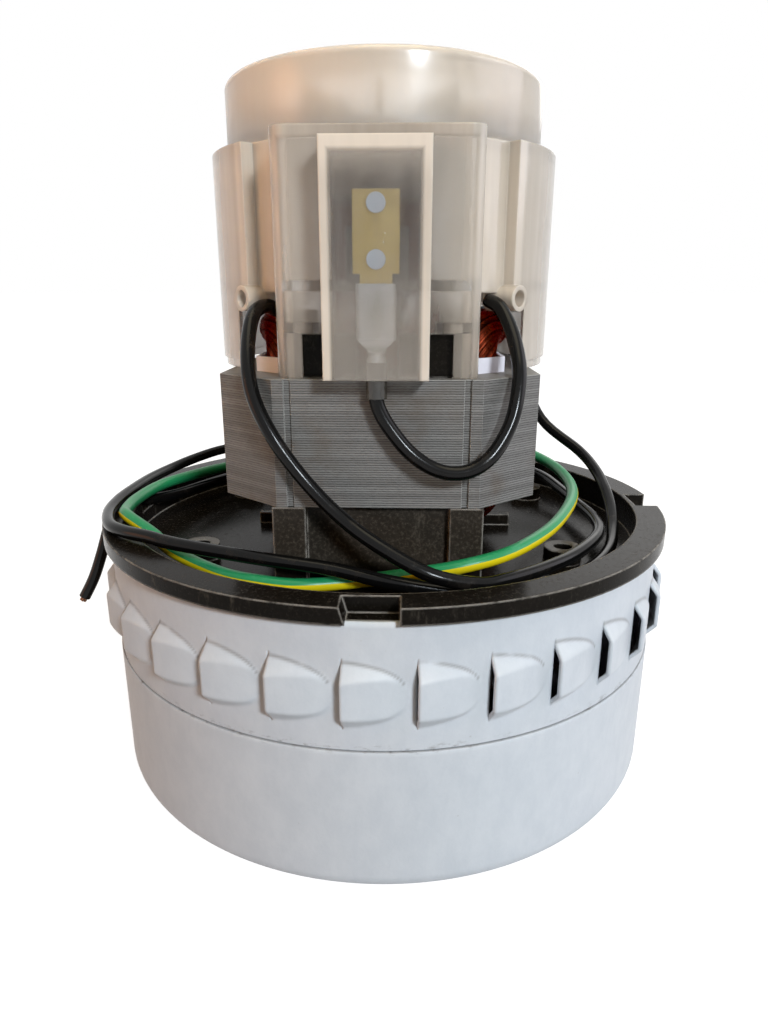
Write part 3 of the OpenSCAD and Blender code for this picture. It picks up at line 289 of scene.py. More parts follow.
def hood_milky():
    """Cloudy clear moulding: shapes show through its flat walls, and it turns milky where a wall runs away
    from the face and light crosses more of it (sides and tops of tower and frame, wing ends). A clear and a
    milky surface share each of its four zones: tower, face, side and cap."""
    f = Finish("hood_milky")
    rounded, lean = f.soft_edge(0.6)
    flow = f.noise(0.5, 3.0, at=f.stretch(0.9, 0.9, 0.06))
    cloud = f.noise(0.05, 3.0, seed=6.0)
    rub = f.step(f.noise(0.8, 5.0, 0.7, at=f.stretch(1.0, 1.0, 0.3)), 0.56, 0.78)
    across, deep = abs(f.x), abs(f.y)
    cap = f.step(f.z, HOOD_TOP - 0.1, HOOD_TOP + 0.4)
    tower = f.step(deep, 49.0, 50.4)
    face = f.step(deep, 41.8, 42.2) * (1 - tower)
    side = (1 - face) * (1 - tower) * (1 - cap)
    tower_rim = f.maths("MAXIMUM", f.step(across, 7.9, 8.9), f.step(f.z, 141.0, 142.1))
    frame_rim = f.maths("MAXIMUM", f.step(across, 18.0, 19.0), f.step(f.z, 144.3, 145.5))
    wing_rim = f.step(deep - across, -4.5, -2.5) * f.step(across, 26.0, 27.0) * f.step(deep, 24.0, 25.0)
    crown = f.step(f.z, COWL_TOP - 1.8, COWL_TOP - 1.0) \
        + f.step(abs(f.z - (HOOD_TOP + 0.2)), 0.9, 0.3) * 0.6
    normal = f.bump(flow, 0.02, rounded)
    glass = f.mix(cloud, srgb(216, 218, 221), srgb(225, 227, 229))
    # painted shade: the clear part is tinted darker towards the bottom of the face, for the dark inside behind
    # it
    glass = f.mix(face * f.step(f.z, 122.0, 112.0) * 0.7, glass, srgb(176, 168, 158))
    clear = f.node("ShaderNodeBsdfPrincipled", None, {
        "Base Color": glass, "Roughness": 0.17 + 0.08 * flow + 0.08 * rub + 0.16 * cap,
        "Normal": normal, "Transmission Weight": 1.0, "IOR": 1.42})
    through = f.node("ShaderNodeBsdfTransparent", None, {"Color": srgb(214, 212, 210)})
    clear = f.node("ShaderNodeMixShader", None, {0: 0.09, 1: clear, 2: through})
    milk = f.node("ShaderNodeBsdfPrincipled", None, {
        "Base Color": f.mix(cloud, srgb(234, 217, 196), srgb(243, 231, 216)),
        "Roughness": 0.17 + 0.12 * flow, "Normal": normal, "Transmission Weight": 0.15, "IOR": 1.45,
        "Coat Weight": 0.8, "Coat Roughness": 0.10})
    in_tower = 0.05 + 0.20 * f.step(f.z, 135.5, 142.0) + 0.15 * f.step(f.z, 125.0, 111.0) \
        + 0.74 * tower_rim
    # painted light: the face gets more milk, so it is lighter, towards the sides of the frame
    in_face = 0.20 + 0.16 * f.step(across, 10.0, 18.0) + 0.24 * frame_rim \
        - 0.20 * f.step(f.z, 122.0, 110.0)
    # painted light: the recess between frame and wing gets more milk, so it is lighter, where the wing shades
    # it
    in_side = 0.52 + 0.20 * wing_rim + 0.16 * f.step(across, 27.0, 25.0)
    in_cap = 0.16 + 0.44 * f.step(f.z, HOOD_TOP, COWL_TOP - 5.0) + 0.20 * crown
    # painted highlight: the last term gives rounded edges more milk, so they look whiter, in place of bright
    # edge highlights
    share = tower * in_tower + face * in_face + side * in_side + cap * in_cap \
        + 0.10 * (cloud - 0.5) + 0.22 * (flow - 0.5) + 0.16 * f.step(lean, 0.02, 0.2)
    f.close(f.node("ShaderNodeMixShader", None, {0: share, 1: clear, 2: milk}))
    return f.material


def moulded(name, dark, light, rough, see_through=0.0, depth=0.02):
    """Plain moulding or paper: a soft cloud, fine tooth, rounded edges."""
    f = Finish(name)
    rounded, lean = f.soft_edge(0.25)
    cloud = f.noise(0.12, 4.0)
    tooth = f.noise(2.0, 3.0)
    base = f.mix(cloud, dark, light)
    base = f.mix(f.step(lean, 0.02, 0.2) * 0.3, base, light)
    return f.surface({"Base Color": base, "Roughness": rough + 0.12 * tooth,
                      "Normal": f.bump(tooth, depth, rounded), "Transmission Weight": see_through})


def brush_carbon():
    """Matt grey carbon with fine specks."""
    f = Finish("brush_carbon")
    speck = f.noise(2.2, 4.0, 0.7)
    base = f.mix(speck, srgb(34, 34, 36), srgb(78, 78, 80))
    return f.surface({"Base Color": base, "Roughness": 0.52 + 0.2 * speck, "Normal": f.bump(speck, 0.04)})


def lead_black():
    """Glossy black sheath with a little handling dust along it."""
    f = Finish("lead_black")
    along = f.split(f.node("ShaderNodeUVMap", {"uv_map": "sheath"}))[0]
    smear = f.step(f.noise(0.25, 4.0, 0.6), 0.52, 0.78)
    fine = f.noise(1.4, 3.0)
    base = f.mix(smear * 0.26, srgb(12, 12, 12), srgb(60, 52, 44))
    ripple = f.maths("SINE", along * 900.0) * 0.1 + f.noise(0.12, 2.0)
    return f.surface({"Base Color": base, "Roughness": 0.15 + 0.18 * smear + 0.05 * fine,
                      "Normal": f.bump(ripple + fine * 0.15, 0.03), "Specular IOR Level": 0.17})


def lead_green():
    """Green sheath with one yellow stripe run along its outer side."""
    f = Finish("lead_green")
    along, around = f.split(f.node("ShaderNodeUVMap", {"uv_map": "sheath"}))[:2]
    wander = f.maths("SINE", along * 46.0) * 0.012
    stripe = f.step(abs(around - 0.75 + wander), 0.152, 0.138)
    smear = f.step(f.noise(0.3, 4.0, 0.6), 0.5, 0.8)
    fine = f.noise(1.4, 3.0)
    base = f.mix(smear, srgb(34, 142, 88), srgb(60, 160, 112))
    base = f.mix(stripe, base, srgb(226, 205, 22))
    base = f.mix(smear * 0.12, base, srgb(90, 84, 60))
    return f.surface({"Base Color": base, "Roughness": 0.28 + 0.14 * smear + 0.06 * fine,
                      "Normal": f.bump(fine, 0.015), "Specular IOR Level": 0.3})


FINISH = {
    "shell_paint": shell_paint(),
    "bracket_black": bracket_black(),
    "laminations": laminations(),
    "enamelled_copper": enamelled_copper(),
    "inner_sheet": bare_metal("inner_sheet", srgb(150, 150, 152), srgb(190, 190, 191), 0.34, 0.85),
    "bright_steel": bare_metal("bright_steel", srgb(168, 167, 165), srgb(214, 212, 208), 0.26, 0.9),
    "bar_copper": bare_metal("bar_copper", srgb(92, 64, 50), srgb(140, 100, 78), 0.34, 0.9),
    "holder_brass": bare_metal("holder_brass", srgb(176, 146, 78), srgb(214, 188, 118), 0.32, 0.7,
                               (0.4, 0.4, 0.4)),
    "impeller_alloy": bare_metal("impeller_alloy", srgb(160, 162, 165), srgb(204, 206, 208), 0.33, 0.85),
    "hood_milky": hood_milky(),
    "liner_paper": moulded("liner_paper", srgb(206, 204, 214), srgb(236, 234, 240), 0.55),
    "pale_rivet": moulded("pale_rivet", srgb(182, 188, 196), srgb(214, 217, 222), 0.30),
    "sleeve_clear": moulded("sleeve_clear", srgb(178, 172, 160), srgb(204, 198, 188), 0.04, 1.0, 0.001),
    "fan_white": moulded("fan_white", srgb(214, 211, 203), srgb(232, 229, 222), 0.45),
    "brush_carbon": brush_carbon(),
    "lead_black": lead_black(),
    "lead_green": lead_green(),
}
for part in frame["record"]["subparts"]:
    node = frame["nodes"][part["node"]]
    if not node.material_slots:
        node.data.materials.append(None)
    for place in node.material_slots:
        place.material = FINISH[part["material_slot"]]


# ---------------------------------------------------------------- making pieces
def piece(name, points, faces, slot, replaces=(), body="housing", uv=None, marks=None, sharp=40):
    """A mesh piece from points (n, 3) in millimetres and lists of face indices, riding on a body."""
    mesh = bpy.data.meshes.new(name)
    mesh.from_pydata((np.asarray(points) * MM).tolist(), [], faces)
    mesh.polygons.foreach_set("use_smooth", np.ones(len(mesh.polygons), bool))
    if uv is not None:
        mesh.uv_layers.new(name="sheath").data.foreach_set("uv", np.asarray(uv, np.float32).ravel())
    for key, values in (marks or {}).items():
        mesh.attributes.new(key, "FLOAT", "POINT").data.foreach_set("value", np.asarray(values, np.float32))
    mesh.update()
    mesh.set_sharp_from_angle(angle=math.radians(sharp))
    mesh.materials.append(FINISH[slot])
    made = bpy.data.objects.new(name, mesh)
    bpy.context.scene.collection.objects.link(made)
    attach(made, body)
    if replaces:
        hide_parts(*replaces)
    return made


def quads(rows, columns, wrap_rows=False, wrap_columns=True):
    """Faces of a grid numbered row by row, each turned so that columns x rows points outwards."""
    i = np.arange(rows if wrap_rows else rows - 1)[:, None]
    k = np.arange(columns if wrap_columns else columns - 1)[None, :]
    i2, k2 = (i + 1) % rows, (k + 1) % columns
    return np.stack([i * columns + k, i * columns + k2, i2 * columns + k2, i2 * columns + k], -1).reshape(-1, 4)


def turned(name, profile, slot, replaces, body="housing", steps=240, sharp=30):
    """A closed outline of radius and height, counter-clockwise, turned about the shaft."""
    r, z = np.asarray(profile, float).T
    a = np.linspace(0, TURN, steps, endpoint=False)
    points = np.stack([r[:, None] * np.cos(a), r[:, None] * np.sin(a), z[:, None] + 0 * a], -1)
    faces = quads(len(r), steps, True).tolist()
    return piece(name, points.reshape(-1, 3), faces, slot, replaces, body, sharp=sharp)


def arc(centre, radius, start, end, count):
    """Points on an arc in the outline, angles in degrees."""
    a = np.radians(np.linspace(start, end, count))
    return [(centre[0] + radius * c, centre[1] + radius * s) for c, s in zip(np.cos(a), np.sin(a))]


def smooth_line(points, steps):
    """Curve through the points, each span the cubic whose ends lean along the neighbouring points."""
    p = np.asarray(points, float)
    p = np.vstack([2 * p[0] - p[1], p, 2 * p[-1] - p[-2]])
    a, b, c, d = p[:-3, None], p[1:-2, None], p[2:-1, None], p[3:, None]
    t = np.linspace(0, 1, steps, endpoint=False)[None, :, None]
    span = (2 * b + (c - a) * t + (2 * a - 5 * b + 4 * c - d) * t * t + (3 * b - a - 3 * c + d) * t ** 3) / 2
    return np.vstack([span.reshape(-1, 3), p[-2:-1]])


def unit(v):
    """Vectors brought to length 1."""
    return v / np.linalg.norm(v, axis=-1, keepdims=True)


def ring_sides(along, lean):
    """Side and cross side at each point; the side is lean made square to the direction."""
    side = unit(lean - (lean * along).sum(-1, keepdims=True) * along)
    return side, np.cross(along, side)


def sheath(name, line, radius, slot, replaces, sides=14):
    """Round sheath along a line: line + radius (cos v side + sin v cross side), drawn in at both ends. Its UV
    holds the length along it in metres and the part of a turn round it."""
    away = unit(np.stack([line[:, 0], line[:, 1], 0 * line[:, 0]], -1)) * 0.6 + np.array([0, 0, 1.0])
    side, cross = ring_sides(unit(np.gradient(line, axis=0)), away)
    run = np.concatenate([[0], np.cumsum(np.linalg.norm(np.diff(line, axis=0), axis=1))])
    v = np.linspace(0, TURN, sides, endpoint=False)
    shrink = np.ones(len(line))
    shrink[[0, -1]] = 0.9
    ring = side[:, None] * np.cos(v)[None, :, None] + cross[:, None] * np.sin(v)[None, :, None]
    points = (line[:, None] + radius * shrink[:, None, None] * ring).reshape(-1, 3)
    faces = quads(len(line), sides)
    i, k = np.divmod(np.arange(len(faces)), sides)
    u0, u1, v0, v1 = run[i] * MM, run[i + 1] * MM, k / sides, (k + 1) / sides
    uv = np.stack([u0, v0, u0, v1, u1, v1, u1, v0], -1).reshape(-1, 2)
    ends = [list(range(sides))[::-1], list(range((len(line) - 1) * sides, len(line) * sides))]
    uv = np.vstack([uv, np.tile([[0.0, 0.25]], (2 * sides, 1))])
    return piece(name, points, faces.tolist() + ends, slot, replaces, uv=uv, sharp=60)


def strands(lines, leans, radius, sides, closed, start=0):
    """Many wires at once: lines (wires, steps, 3) swept with a small ring. Gives points, faces that count from
    start, and wire numbers."""
    count, steps = lines.shape[:2]
    if closed:
        wide = np.concatenate([lines[:, -2:], lines, lines[:, :2]], 1)
        along = unit(np.gradient(wide, axis=1)[:, 2:-2])
    else:
        along = unit(np.gradient(lines, axis=1))
    side, cross = ring_sides(along, leans)
    v = np.linspace(0, TURN, sides, endpoint=False)
    ring = side[:, :, None] * np.cos(v)[:, None] + cross[:, :, None] * np.sin(v)[:, None]
    points = (lines[:, :, None] + radius * ring).reshape(-1, 3)
    begin = start + np.arange(count) * steps * sides
    faces = (quads(steps, sides, closed)[None] + begin[:, None, None]).reshape(-1, 4).tolist()
    if not closed:
        ring = np.arange(sides)
        faces += (ring[::-1] + begin[:, None]).tolist()
        faces += (ring + begin[:, None] + (steps - 1) * sides).tolist()
    return points, faces, np.repeat(np.arange(count), steps * sides)


# ---------------------------------------------------------------- camera, leads
# the camera as fitted to the photo
camera = bpy.data.objects.new("camera", bpy.data.cameras.new("camera"))
camera.location = (0.00558, -0.18786, 0.11786)
camera.rotation_euler = (math.radians(90 - 17.09), 0, math.atan2(5.58, 187.86))
camera.data.lens = 25.18
camera.data.sensor_width = 36
camera.data.clip_start = 0.01
bpy.context.scene.collection.objects.link(camera)
bpy.context.scene.camera = camera

JUMPER = [
    (0, -48.2, 105), (0, -48.2, 101), (0, -48.2, 97.5), (1.2, -48.5, 94.4), (3.5, -48.9, 91),
    (6.5, -49.4, 87.6), (10.2, -50, 85), (14.2, -50.4, 83.7), (18.2, -50.2, 84), (21.8, -49.4, 86),
    (24.6, -47.8, 89.2), (26.8, -46, 93.4), (27.9, -44.2, 97.8), (28.4, -42, 102.2), (28.1, -39.2, 106.2),
    (27.3, -36.4, 109.8), (26.1, -33.7, 113), (24.8, -31.2, 115.1), (22.9, -28.6, 116.2)]
LIVE = [
    (-22, -26.5, 113.8), (-24.2, -30, 115), (-26, -35.4, 113.2), (-26.3, -41, 106.6), (-24.9, -45.6, 98.6),
    (-20.6, -48.4, 90.2), (-14.2, -49.6, 81.5), (-6.5, -51.8, 74.2), (1.8, -55, 69.1), (11.2, -57, 64.6),
    (20.5, -55.2, 62.2), (26, -52.6, 62), (34, -46.8, 62), (42.4, -38.6, 62), (49.6, -28.2, 62),
    (53.6, -18.8, 61.8), (54.8, -8, 61.7), (53.6, 3.8, 61.7), (51.6, 17, 62.2), (48.4, 29, 63.2),
    (43.2, 38, 63.5), (36, 45.5, 63), (27.5, 51, 62.5), (17.5, 55, 62), (7, 57.3, 62), (-4, 57.6, 62),
    (-15, 55.8, 62), (-25.5, 51.6, 62), (-35, 45.5, 62), (-43, 38, 62), (-50, 29, 62), (-55.8, 18.4, 62),
    (-60.2, 8.8, 62.2), (-65, 2.4, 62.6), (-70, -0.6, 62.7), (-74, -3, 59.6), (-76.8, -7, 49.5),
    (-79, -8.6, 43.2), (-82.2, -10, 37)]
NEUTRAL = [
    (22, 26.5, 113), (24.5, 30, 113.6), (27.7, 33.5, 113), (34.8, 37.8, 106), (41, 38, 94.5), (47.5, 33, 80.5),
    (57, 21.5, 73), (60, 12.5, 69.2), (60.6, 3, 65.8), (60, -6, 62.6), (58.2, -14.5, 60), (55.2, -23.5, 58.8),
    (49.4, -34, 58.7), (42, -42.8, 58.7), (33, -48.6, 58.7), (24.5, -51.6, 58.7), (15.8, -52.6, 59.4),
    (3, -53, 61.4), (-9.6, -50.4, 63.2), (-24.6, -48, 64.4), (-43.6, -42.6, 65.4), (-50.6, -40.2, 66.2),
    (-57.4, -36.6, 66.2), (-62.8, -31.2, 66), (-67, -21.6, 66), (-68.8, -10.6, 66), (-68.9, 1, 66),
    (-68.3, 12, 66), (-65.8, 23, 66.3), (-60.8, 32.8, 67.4), (-53.6, 40.8, 68.6), (-44.4, 47.6, 68.6),
    (-33.4, 52.8, 67.6), (-21.6, 56.4, 66.4), (-10, 58.4, 65.8)]
EARTH = [
    (8, 47.9, 79), (8.06, 47.92, 76.8), (8.6, 48.1, 74.2), (10.2, 48.7, 71.8), (12.8, 49.5, 70.3),
    (16, 50.3, 69.9), (20, 50.7, 70), (27.6, 48.4, 70.3), (35, 43.6, 70.4), (42, 37, 70), (47, 29, 69),
    (50.2, 19.6, 68.2), (51.2, 8.4, 67.5), (50.2, -2.8, 67), (46.8, -14.4, 66.5), (40.2, -29, 66),
    (33, -39.6, 65.5), (25.6, -47, 65), (17.2, -50, 63.8), (9, -49.4, 62), (-4, -47.2, 59.2),
    (-16, -49.8, 59.2), (-24.6, -49, 59.6), (-34, -45, 59.8), (-46.6, -36.2, 61.2), (-52.6, -32.6, 64.4),
    (-60.4, -26.4, 66.6), (-63.2, -20.2, 66.2), (-64.4, -9.6, 66), (-62.8, 4.6, 66), (-57.4, 16, 66),
    (-50.4, 26, 66), (-35, 41.5, 65.8), (-26, 47.8, 65.6), (-16, 52.2, 65.4)]


def lead(name, route, slot, node, bare):
    """A lead along its route. A bare one ends in a short tuft of seven copper strands inside its own length."""
    stripped, buried, strand_r, pitch, rings = 1.6, 2.6, 0.3, 0.62, 5
    line = smooth_line(route, 6)
    cover = line
    tips = []
    if bare:
        end = unit(line[-1] - line[-3])
        cover = np.vstack([line[:-1], line[-1] - stripped * end])
        side = unit(np.cross(end, [0.3, 0.2, 1.0]))
        cross = np.cross(end, side)
        a = np.arange(6) * TURN / 6
        around = np.cos(a)[:, None] * side + np.sin(a)[:, None] * cross
        spread = np.vstack([np.zeros((1, 3)), pitch * around])
        s = np.linspace(-buried, -0.05, rings)
        splay = np.linspace(0.8, 1.05, rings)
        wires = line[-1] + spread[:, None] * splay[None, :, None] + s[None, :, None] * end
        points, faces, _ = strands(wires, np.broadcast_to(side, wires.shape), strand_r, 6, False)
        tips = [piece(name + "_strands", points, faces, "bar_copper", body="housing")]
    made = sheath(name, cover, LEAD_R, slot, [node])
    return made


lead("front_jumper_wire", JUMPER, "lead_black", "front_jumper", False)
lead("rear_jumper_wire", [(-x, -y, z) for x, y, z in JUMPER], "lead_black", "rear_jumper", False)
lead("live_wire", LIVE, "lead_black", "live_lead", True)
lead("neutral_wire", NEUTRAL, "lead_black", "neutral_lead", True)
lead("earth_wire", EARTH, "lead_green", "earth_lead", True)


# ---------------------------------------------------------------- fan case
def lower_shell():
    """Drawn can: eye lip, rolled mouth, raised floor, sole, foot fillet and wall, then the same line inside."""
    eye, lip_z, recess, fillet = 22.0, 7.8, 1.6, 4.0
    mouth, mouth_r = (24.3, 3.9), 1.5
    foot = (CAN_R - fillet, fillet)
    outside = [(eye, lip_z), (eye, mouth[1])] + arc(mouth, mouth_r + SHEET, 190, 265, 8) \
        + [(24.6, recess), (38.2, recess), (38.6, 1.45), (39.8, 0.1), (40.2, 0), (46, 0), (53, 0), (60, 0)] \
        + arc(foot, fillet, 270, 360, 12)
    wall = [(CAN_R, z) for z in (7, 12, 18, 24, 29, 32.4, 33.2)] \
        + [(CAN_R - 0.1, CAN_H - 0.08), (CAN_R - 0.3, CAN_H), (CAN_R - 0.65, CAN_H)]
    inside = [(CAN_R - SHEET, CAN_H - 0.2)] + arc(foot, fillet - SHEET, 360, 270, 10) \
        + [(40.3, SHEET), (38.5, recess + SHEET), (24.6, recess + SHEET)] \
        + arc(mouth, mouth_r, 265, 190, 6) \
        + [(eye + SHEET, 4.2), (eye + SHEET, lip_z), (eye + 0.4, lip_z + 0.1)]
    return turned("drawn_case", outside + wall + inside, "shell_paint", ["lower_fan_shell"])


def soft_min(a, b, k):
    """The lower of two heights, rounded where they cross over a width k."""
    h = np.clip(0.5 + 0.5 * (b - a) / k, 0, 1)
    return b * (1 - h) + a * h - k * h * (1 - h)


def louvred_band():
    """Radius over angle and height. In each of 31 cells a scoop rises to 2.6 mm at its open end: the lowest of
    a plan arc, a foot slope and a head slope whose roots close in along it, rounded together and faired into
    the wall. Cells share their border where it is flush and part at the open end. Below the seam the band's
    lip tucks into the can."""
    n, band_r, lip_r, lip_z = 31, 70.3, 69.7, 33.7
    bow, proud, length, phase = 42.0, 2.6, math.radians(10.1), math.radians(6.8 - 90)
    foot_z, foot_run, head_z, head_run = 38.7, 3.0, 52.65, 3.3
    p = np.array([band_r + proud, 0.0])
    q = band_r * np.array([math.cos(length), math.sin(length)])
    d = q - p
    centre = (p + q) / 2 + np.array([-d[1], d[0]]) / np.linalg.norm(d) * math.sqrt(bow ** 2 - d @ d / 4)
    u = np.linspace(0, 1, 28)
    turn = TURN / n * u
    z = np.concatenate([[29.6, 33.45, SEAM_Z, 33.82], np.linspace(34.1, 37.4, 5),
                        np.linspace(37.8, 53.8, 50), np.linspace(54.6, 60.78, 6)])
    ray = np.stack([np.cos(turn), np.sin(turn)], -1)
    reach = ray @ centre
    plan = reach + np.sqrt(np.maximum(reach ** 2 - centre @ centre + bow ** 2, 0)) - band_r
    t = np.clip(turn / length, 0, 1.1)
    foot = (z[:, None] - foot_z - 3.0 * t ** 1.6 - 2.8 * t ** 9) * proud / foot_run
    head = (head_z - 3.4 * t ** 1.8 - 2.4 * t ** 10 - z[:, None]) * proud / head_run
    rise = soft_min(soft_min(foot, head, 0.3), plan[None], 0.32)
    rise = -soft_min(-rise, 0 * rise, 0.42)
    rise[:, t >= 1.08] = 0
    rise = np.minimum(rise, proud)
    # a thin dark line along the crease where each louvre's head slope meets the wall
    crest = 0.55 * np.exp(-((head - 0.02) / 0.26) ** 2) * (t < 0.95) * (foot > 0.5)
    r = np.where(z < lip_z, lip_r, band_r)[:, None] + rise
    start = phase + np.arange(n) * TURN / n
    a = start[:, None, None] + turn + 0 * r
    points = np.stack([r * np.cos(a), r * np.sin(a), z[:, None] + 0 * a], -1).reshape(-1, 3)
    rows, columns = len(z), len(u)
    number = np.arange(n * rows * columns).reshape(n, rows, columns)
    flush = rise[:, 0] < 1e-6
    number[:, flush, 0] = np.roll(number, 1, axis=0)[:, flush, -1]
    faces = np.stack([number[:, :-1, :-1], number[:, :-1, 1:], number[:, 1:, 1:], number[:, 1:, :-1]], -1)
    used, faces = np.unique(faces.reshape(-1, 4), return_inverse=True)
    made = piece("louvred_band", points[used], faces.reshape(-1, 4).tolist(), "shell_paint",
                 ["upper_fan_shell"], marks={"dark_marks": np.tile(crest.ravel(), n)[used]}, sharp=60)
    wall = made.modifiers.new("sheet", "SOLIDIFY")
    wall.thickness = SHEET * MM
    wall.offset = -1
    wall.use_even_offset = False
    return made


lower_shell()
louvred_band()


# ---------------------------------------------------------------- hood cap
def cowl_cap():
    """Round cap: straight wall, rounded shoulder, flat top with a wide eye, inner wall with a small ledge."""
    outer, inner, eye, shoulder, foot = 36.4, 34.4, 24.0, 1.5, HOOD_TOP + 0.02
    under = COWL_TOP - 1.6
    wall = [(inner, foot), (outer - 0.1, foot)] + [(outer, z) for z in (147.2, 149, 153, 157)]
    top = [(30, COWL_TOP), (eye + 0.4, COWL_TOP), (eye + 0.1, COWL_TOP - 0.2), (eye, COWL_TOP - 0.8)]
    inside = [(eye + 0.1, under + 0.1), (eye + 0.4, under), (30, under), (inner - 0.8, under),
              (inner - 0.2, under - 0.3), (inner, under - 0.9), (inner, 153)]
    outline = wall + arc((outer - shoulder, COWL_TOP - shoulder), shoulder, 0, 90, 9) + top + inside
    return turned("cowl_cap", outline, "hood_milky", ["fan_cowl"], steps=200)


cowl_cap()


# ---------------------------------------------------------------- windings and springs
def field_coil(name, side, nodes):
    """Saddle of wire round a plain core: y and z run round a rounded box of order 4, x flares over the ends.
    Each wire keeps its place in the bundle's section, turns with it over the ends and sways a little."""
    steps, rng = 132, np.random.default_rng(11)
    half_y, half_z, mid_x, flare, mid_z = 24, 21.15, 20.9, 6.2, 88.15
    wire_r, core_r, core_sides, over_end = 0.28, 3.3, 18, 2.3
    a = np.linspace(0, TURN, steps, endpoint=False)
    c, s = np.cos(a), np.sin(a)
    rad = ((np.abs(c) / half_y) ** 4 + (np.abs(s) / half_z) ** 4) ** -0.25
    mid = np.stack([mid_x + flare * s ** 4, rad * c, mid_z + rad * s], -1)
    out = unit(np.stack([0 * a, c ** 3 / half_y ** 4 * rad ** 3, s ** 3 / half_z ** 4 * rad ** 3], -1))
    layers = ((4.16, 46), (3.62, 38))
    place = np.concatenate([np.stack([np.full(n, r), np.arange(n) * TURN / n + 0.1 * r], -1)
                            for r, n in layers])
    shift, sway = rng.uniform(0, TURN, (2, len(place), 1))
    h = np.clip((np.abs(s) - 0.40) / 0.5, 0, 1)
    b = place[:, 1:] + over_end * h * h * (3 - 2 * h) + 0.025 * np.sin(5 * a + sway)
    r = place[:, :1] + 0.02 * np.sin(3 * a + shift)
    lean = np.sin(b)[..., None] * np.array([1.0, 0, 0]) + np.cos(b)[..., None] * out
    lines = mid + r[..., None] * lean
    points, faces, number = strands(lines, lean, wire_r, 6, True)
    v = np.linspace(0, TURN, core_sides, endpoint=False)
    ring = np.sin(v)[None, :, None] * np.array([1.0, 0, 0]) + np.cos(v)[None, :, None] * out[:, None]
    core = (mid[:, None] + core_r * ring).reshape(-1, 3)
    faces = np.vstack([faces, quads(steps, core_sides, True)[:, ::-1] + len(points)])
    tone = np.concatenate([rng.uniform(0, 1, len(place))[number], np.zeros(len(core))])
    points = np.vstack([points, core]) * np.array([side, 1, 1])
    if side < 0:
        faces = faces[:, ::-1]
    return piece(name, points, faces.tolist(), "enamelled_copper", nodes, marks={"wire_tone": tone})


def armature_turns():
    """Armature wire: straight sides in 22 slots, and at each end wires that swing from slot to slot over a
    chord, drawn in towards the shaft and raised in the middle, then a neck up to the commutator."""
    rng = np.random.default_rng(5)
    slots, slot_r, rim_r, draw, chord = 22, 16.0, 18.8, 8.6, math.radians(150)
    end_r, side_r, neck_r, sides = 0.42, 0.45, 0.5, 6
    k = np.arange(slots) * TURN / slots
    sets = []
    t = np.linspace(0, 1, 40)[None]
    # each layer of end turns: height of its root, way it rises, how high, how far in it starts
    for z0, up, high, low in ((101.5, 1, 5.0, 0), (74.8, -1, 4.6, 0), (102.0, 1, 8.5, 2.6)):
        for lift in (0.0, 0.5):
            start = np.repeat(k, 2)[:, None] + np.tile([0.0, 0.13], slots)[:, None] + lift * 0.2
            a = start + chord * t
            hump = np.sin(math.pi * t) + 0 * start
            r = rim_r - low - (draw - low) * hump ** 1.4 - 0.6 * lift
            z = z0 + up * (0.2 + lift + (high - 1.2) * hump * (0.75 + 0.2 * rng.uniform(0, 1, start.shape)))
            sets.append(np.stack([r * np.cos(a), r * np.sin(a), z + 0 * a], -1))
    lines = np.concatenate(sets)
    lean = np.broadcast_to(np.array([0.0, 0, 1.0]), lines.shape)
    points, faces, number = strands(lines, lean, end_r, sides, False)
    grid = np.stack(np.meshgrid([-2.6, -1.5, -0.4, 0.7, 1.8, 2.8], [-0.5, 0.5]), -1).reshape(-1, 2)
    r, y = slot_r + grid[:, 0], grid[:, 1]
    x = (r[None] * np.cos(k)[:, None] - y[None] * np.sin(k)[:, None]).ravel()
    y = (r[None] * np.sin(k)[:, None] + y[None] * np.cos(k)[:, None]).ravel()
    z = np.linspace(74.2, 102.2, 3)
    bars = np.stack(np.broadcast_arrays(x[:, None], y[:, None], z), -1)
    lean = np.broadcast_to(np.array([1.0, 0, 0]), bars.shape)
    more, added, which = strands(bars, lean, side_r, sides, False, len(points))
    points, faces = np.vstack([points, more]), faces + added
    number = np.concatenate([number, which + len(lines)])
    t = np.linspace(0, 1, 8)
    a, r = k[:, None] + 0.5 * t, 14.6 - 2.8 * t ** 0.8
    necks = np.stack(np.broadcast_arrays(r * np.cos(a), r * np.sin(a), np.linspace(108, 120.9, 8)), -1)
    lean = np.array([0.0, 0, 1.0]) + necks * 0.2
    more, added, which = strands(necks, lean, neck_r, sides, False, len(points))
    points, faces = np.vstack([points, more]), faces + added
    number = np.concatenate([number, which + number.max() + 1])
    return piece("armature_turns", points, faces, "enamelled_copper", ["armature_winding"], "rotor",
                 marks={"wire_tone": rng.uniform(0, 1, number.max() + 1)[number]})


def brush_spring(name, side, node):
    """Helix of 7 curls, radius 2.3 mm, closed up at both ends, that squeezes towards the holder's end."""
    curls, curl_r, wire_r, near, far = 7, 2.3, 0.35, 38.55, 47.8
    s = np.linspace(0, 1, curls * 26)
    a = TURN * curls * s
    y = near + (far - near) * (0.82 * s + 0.18 * (s ** 2 * (3 - 2 * s)))
    line = np.stack([curl_r * np.cos(a) * side, -y * side, BRUSH_Z + curl_r * np.sin(a)], -1)[None]
    lean = np.stack([np.cos(a) * side, 0 * a, np.sin(a)], -1)[None]
    points, faces, _ = strands(line, lean, wire_r, 8, False)
    made = piece(name, points, faces, "bright_steel", [node])
    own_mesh(made)
    return made


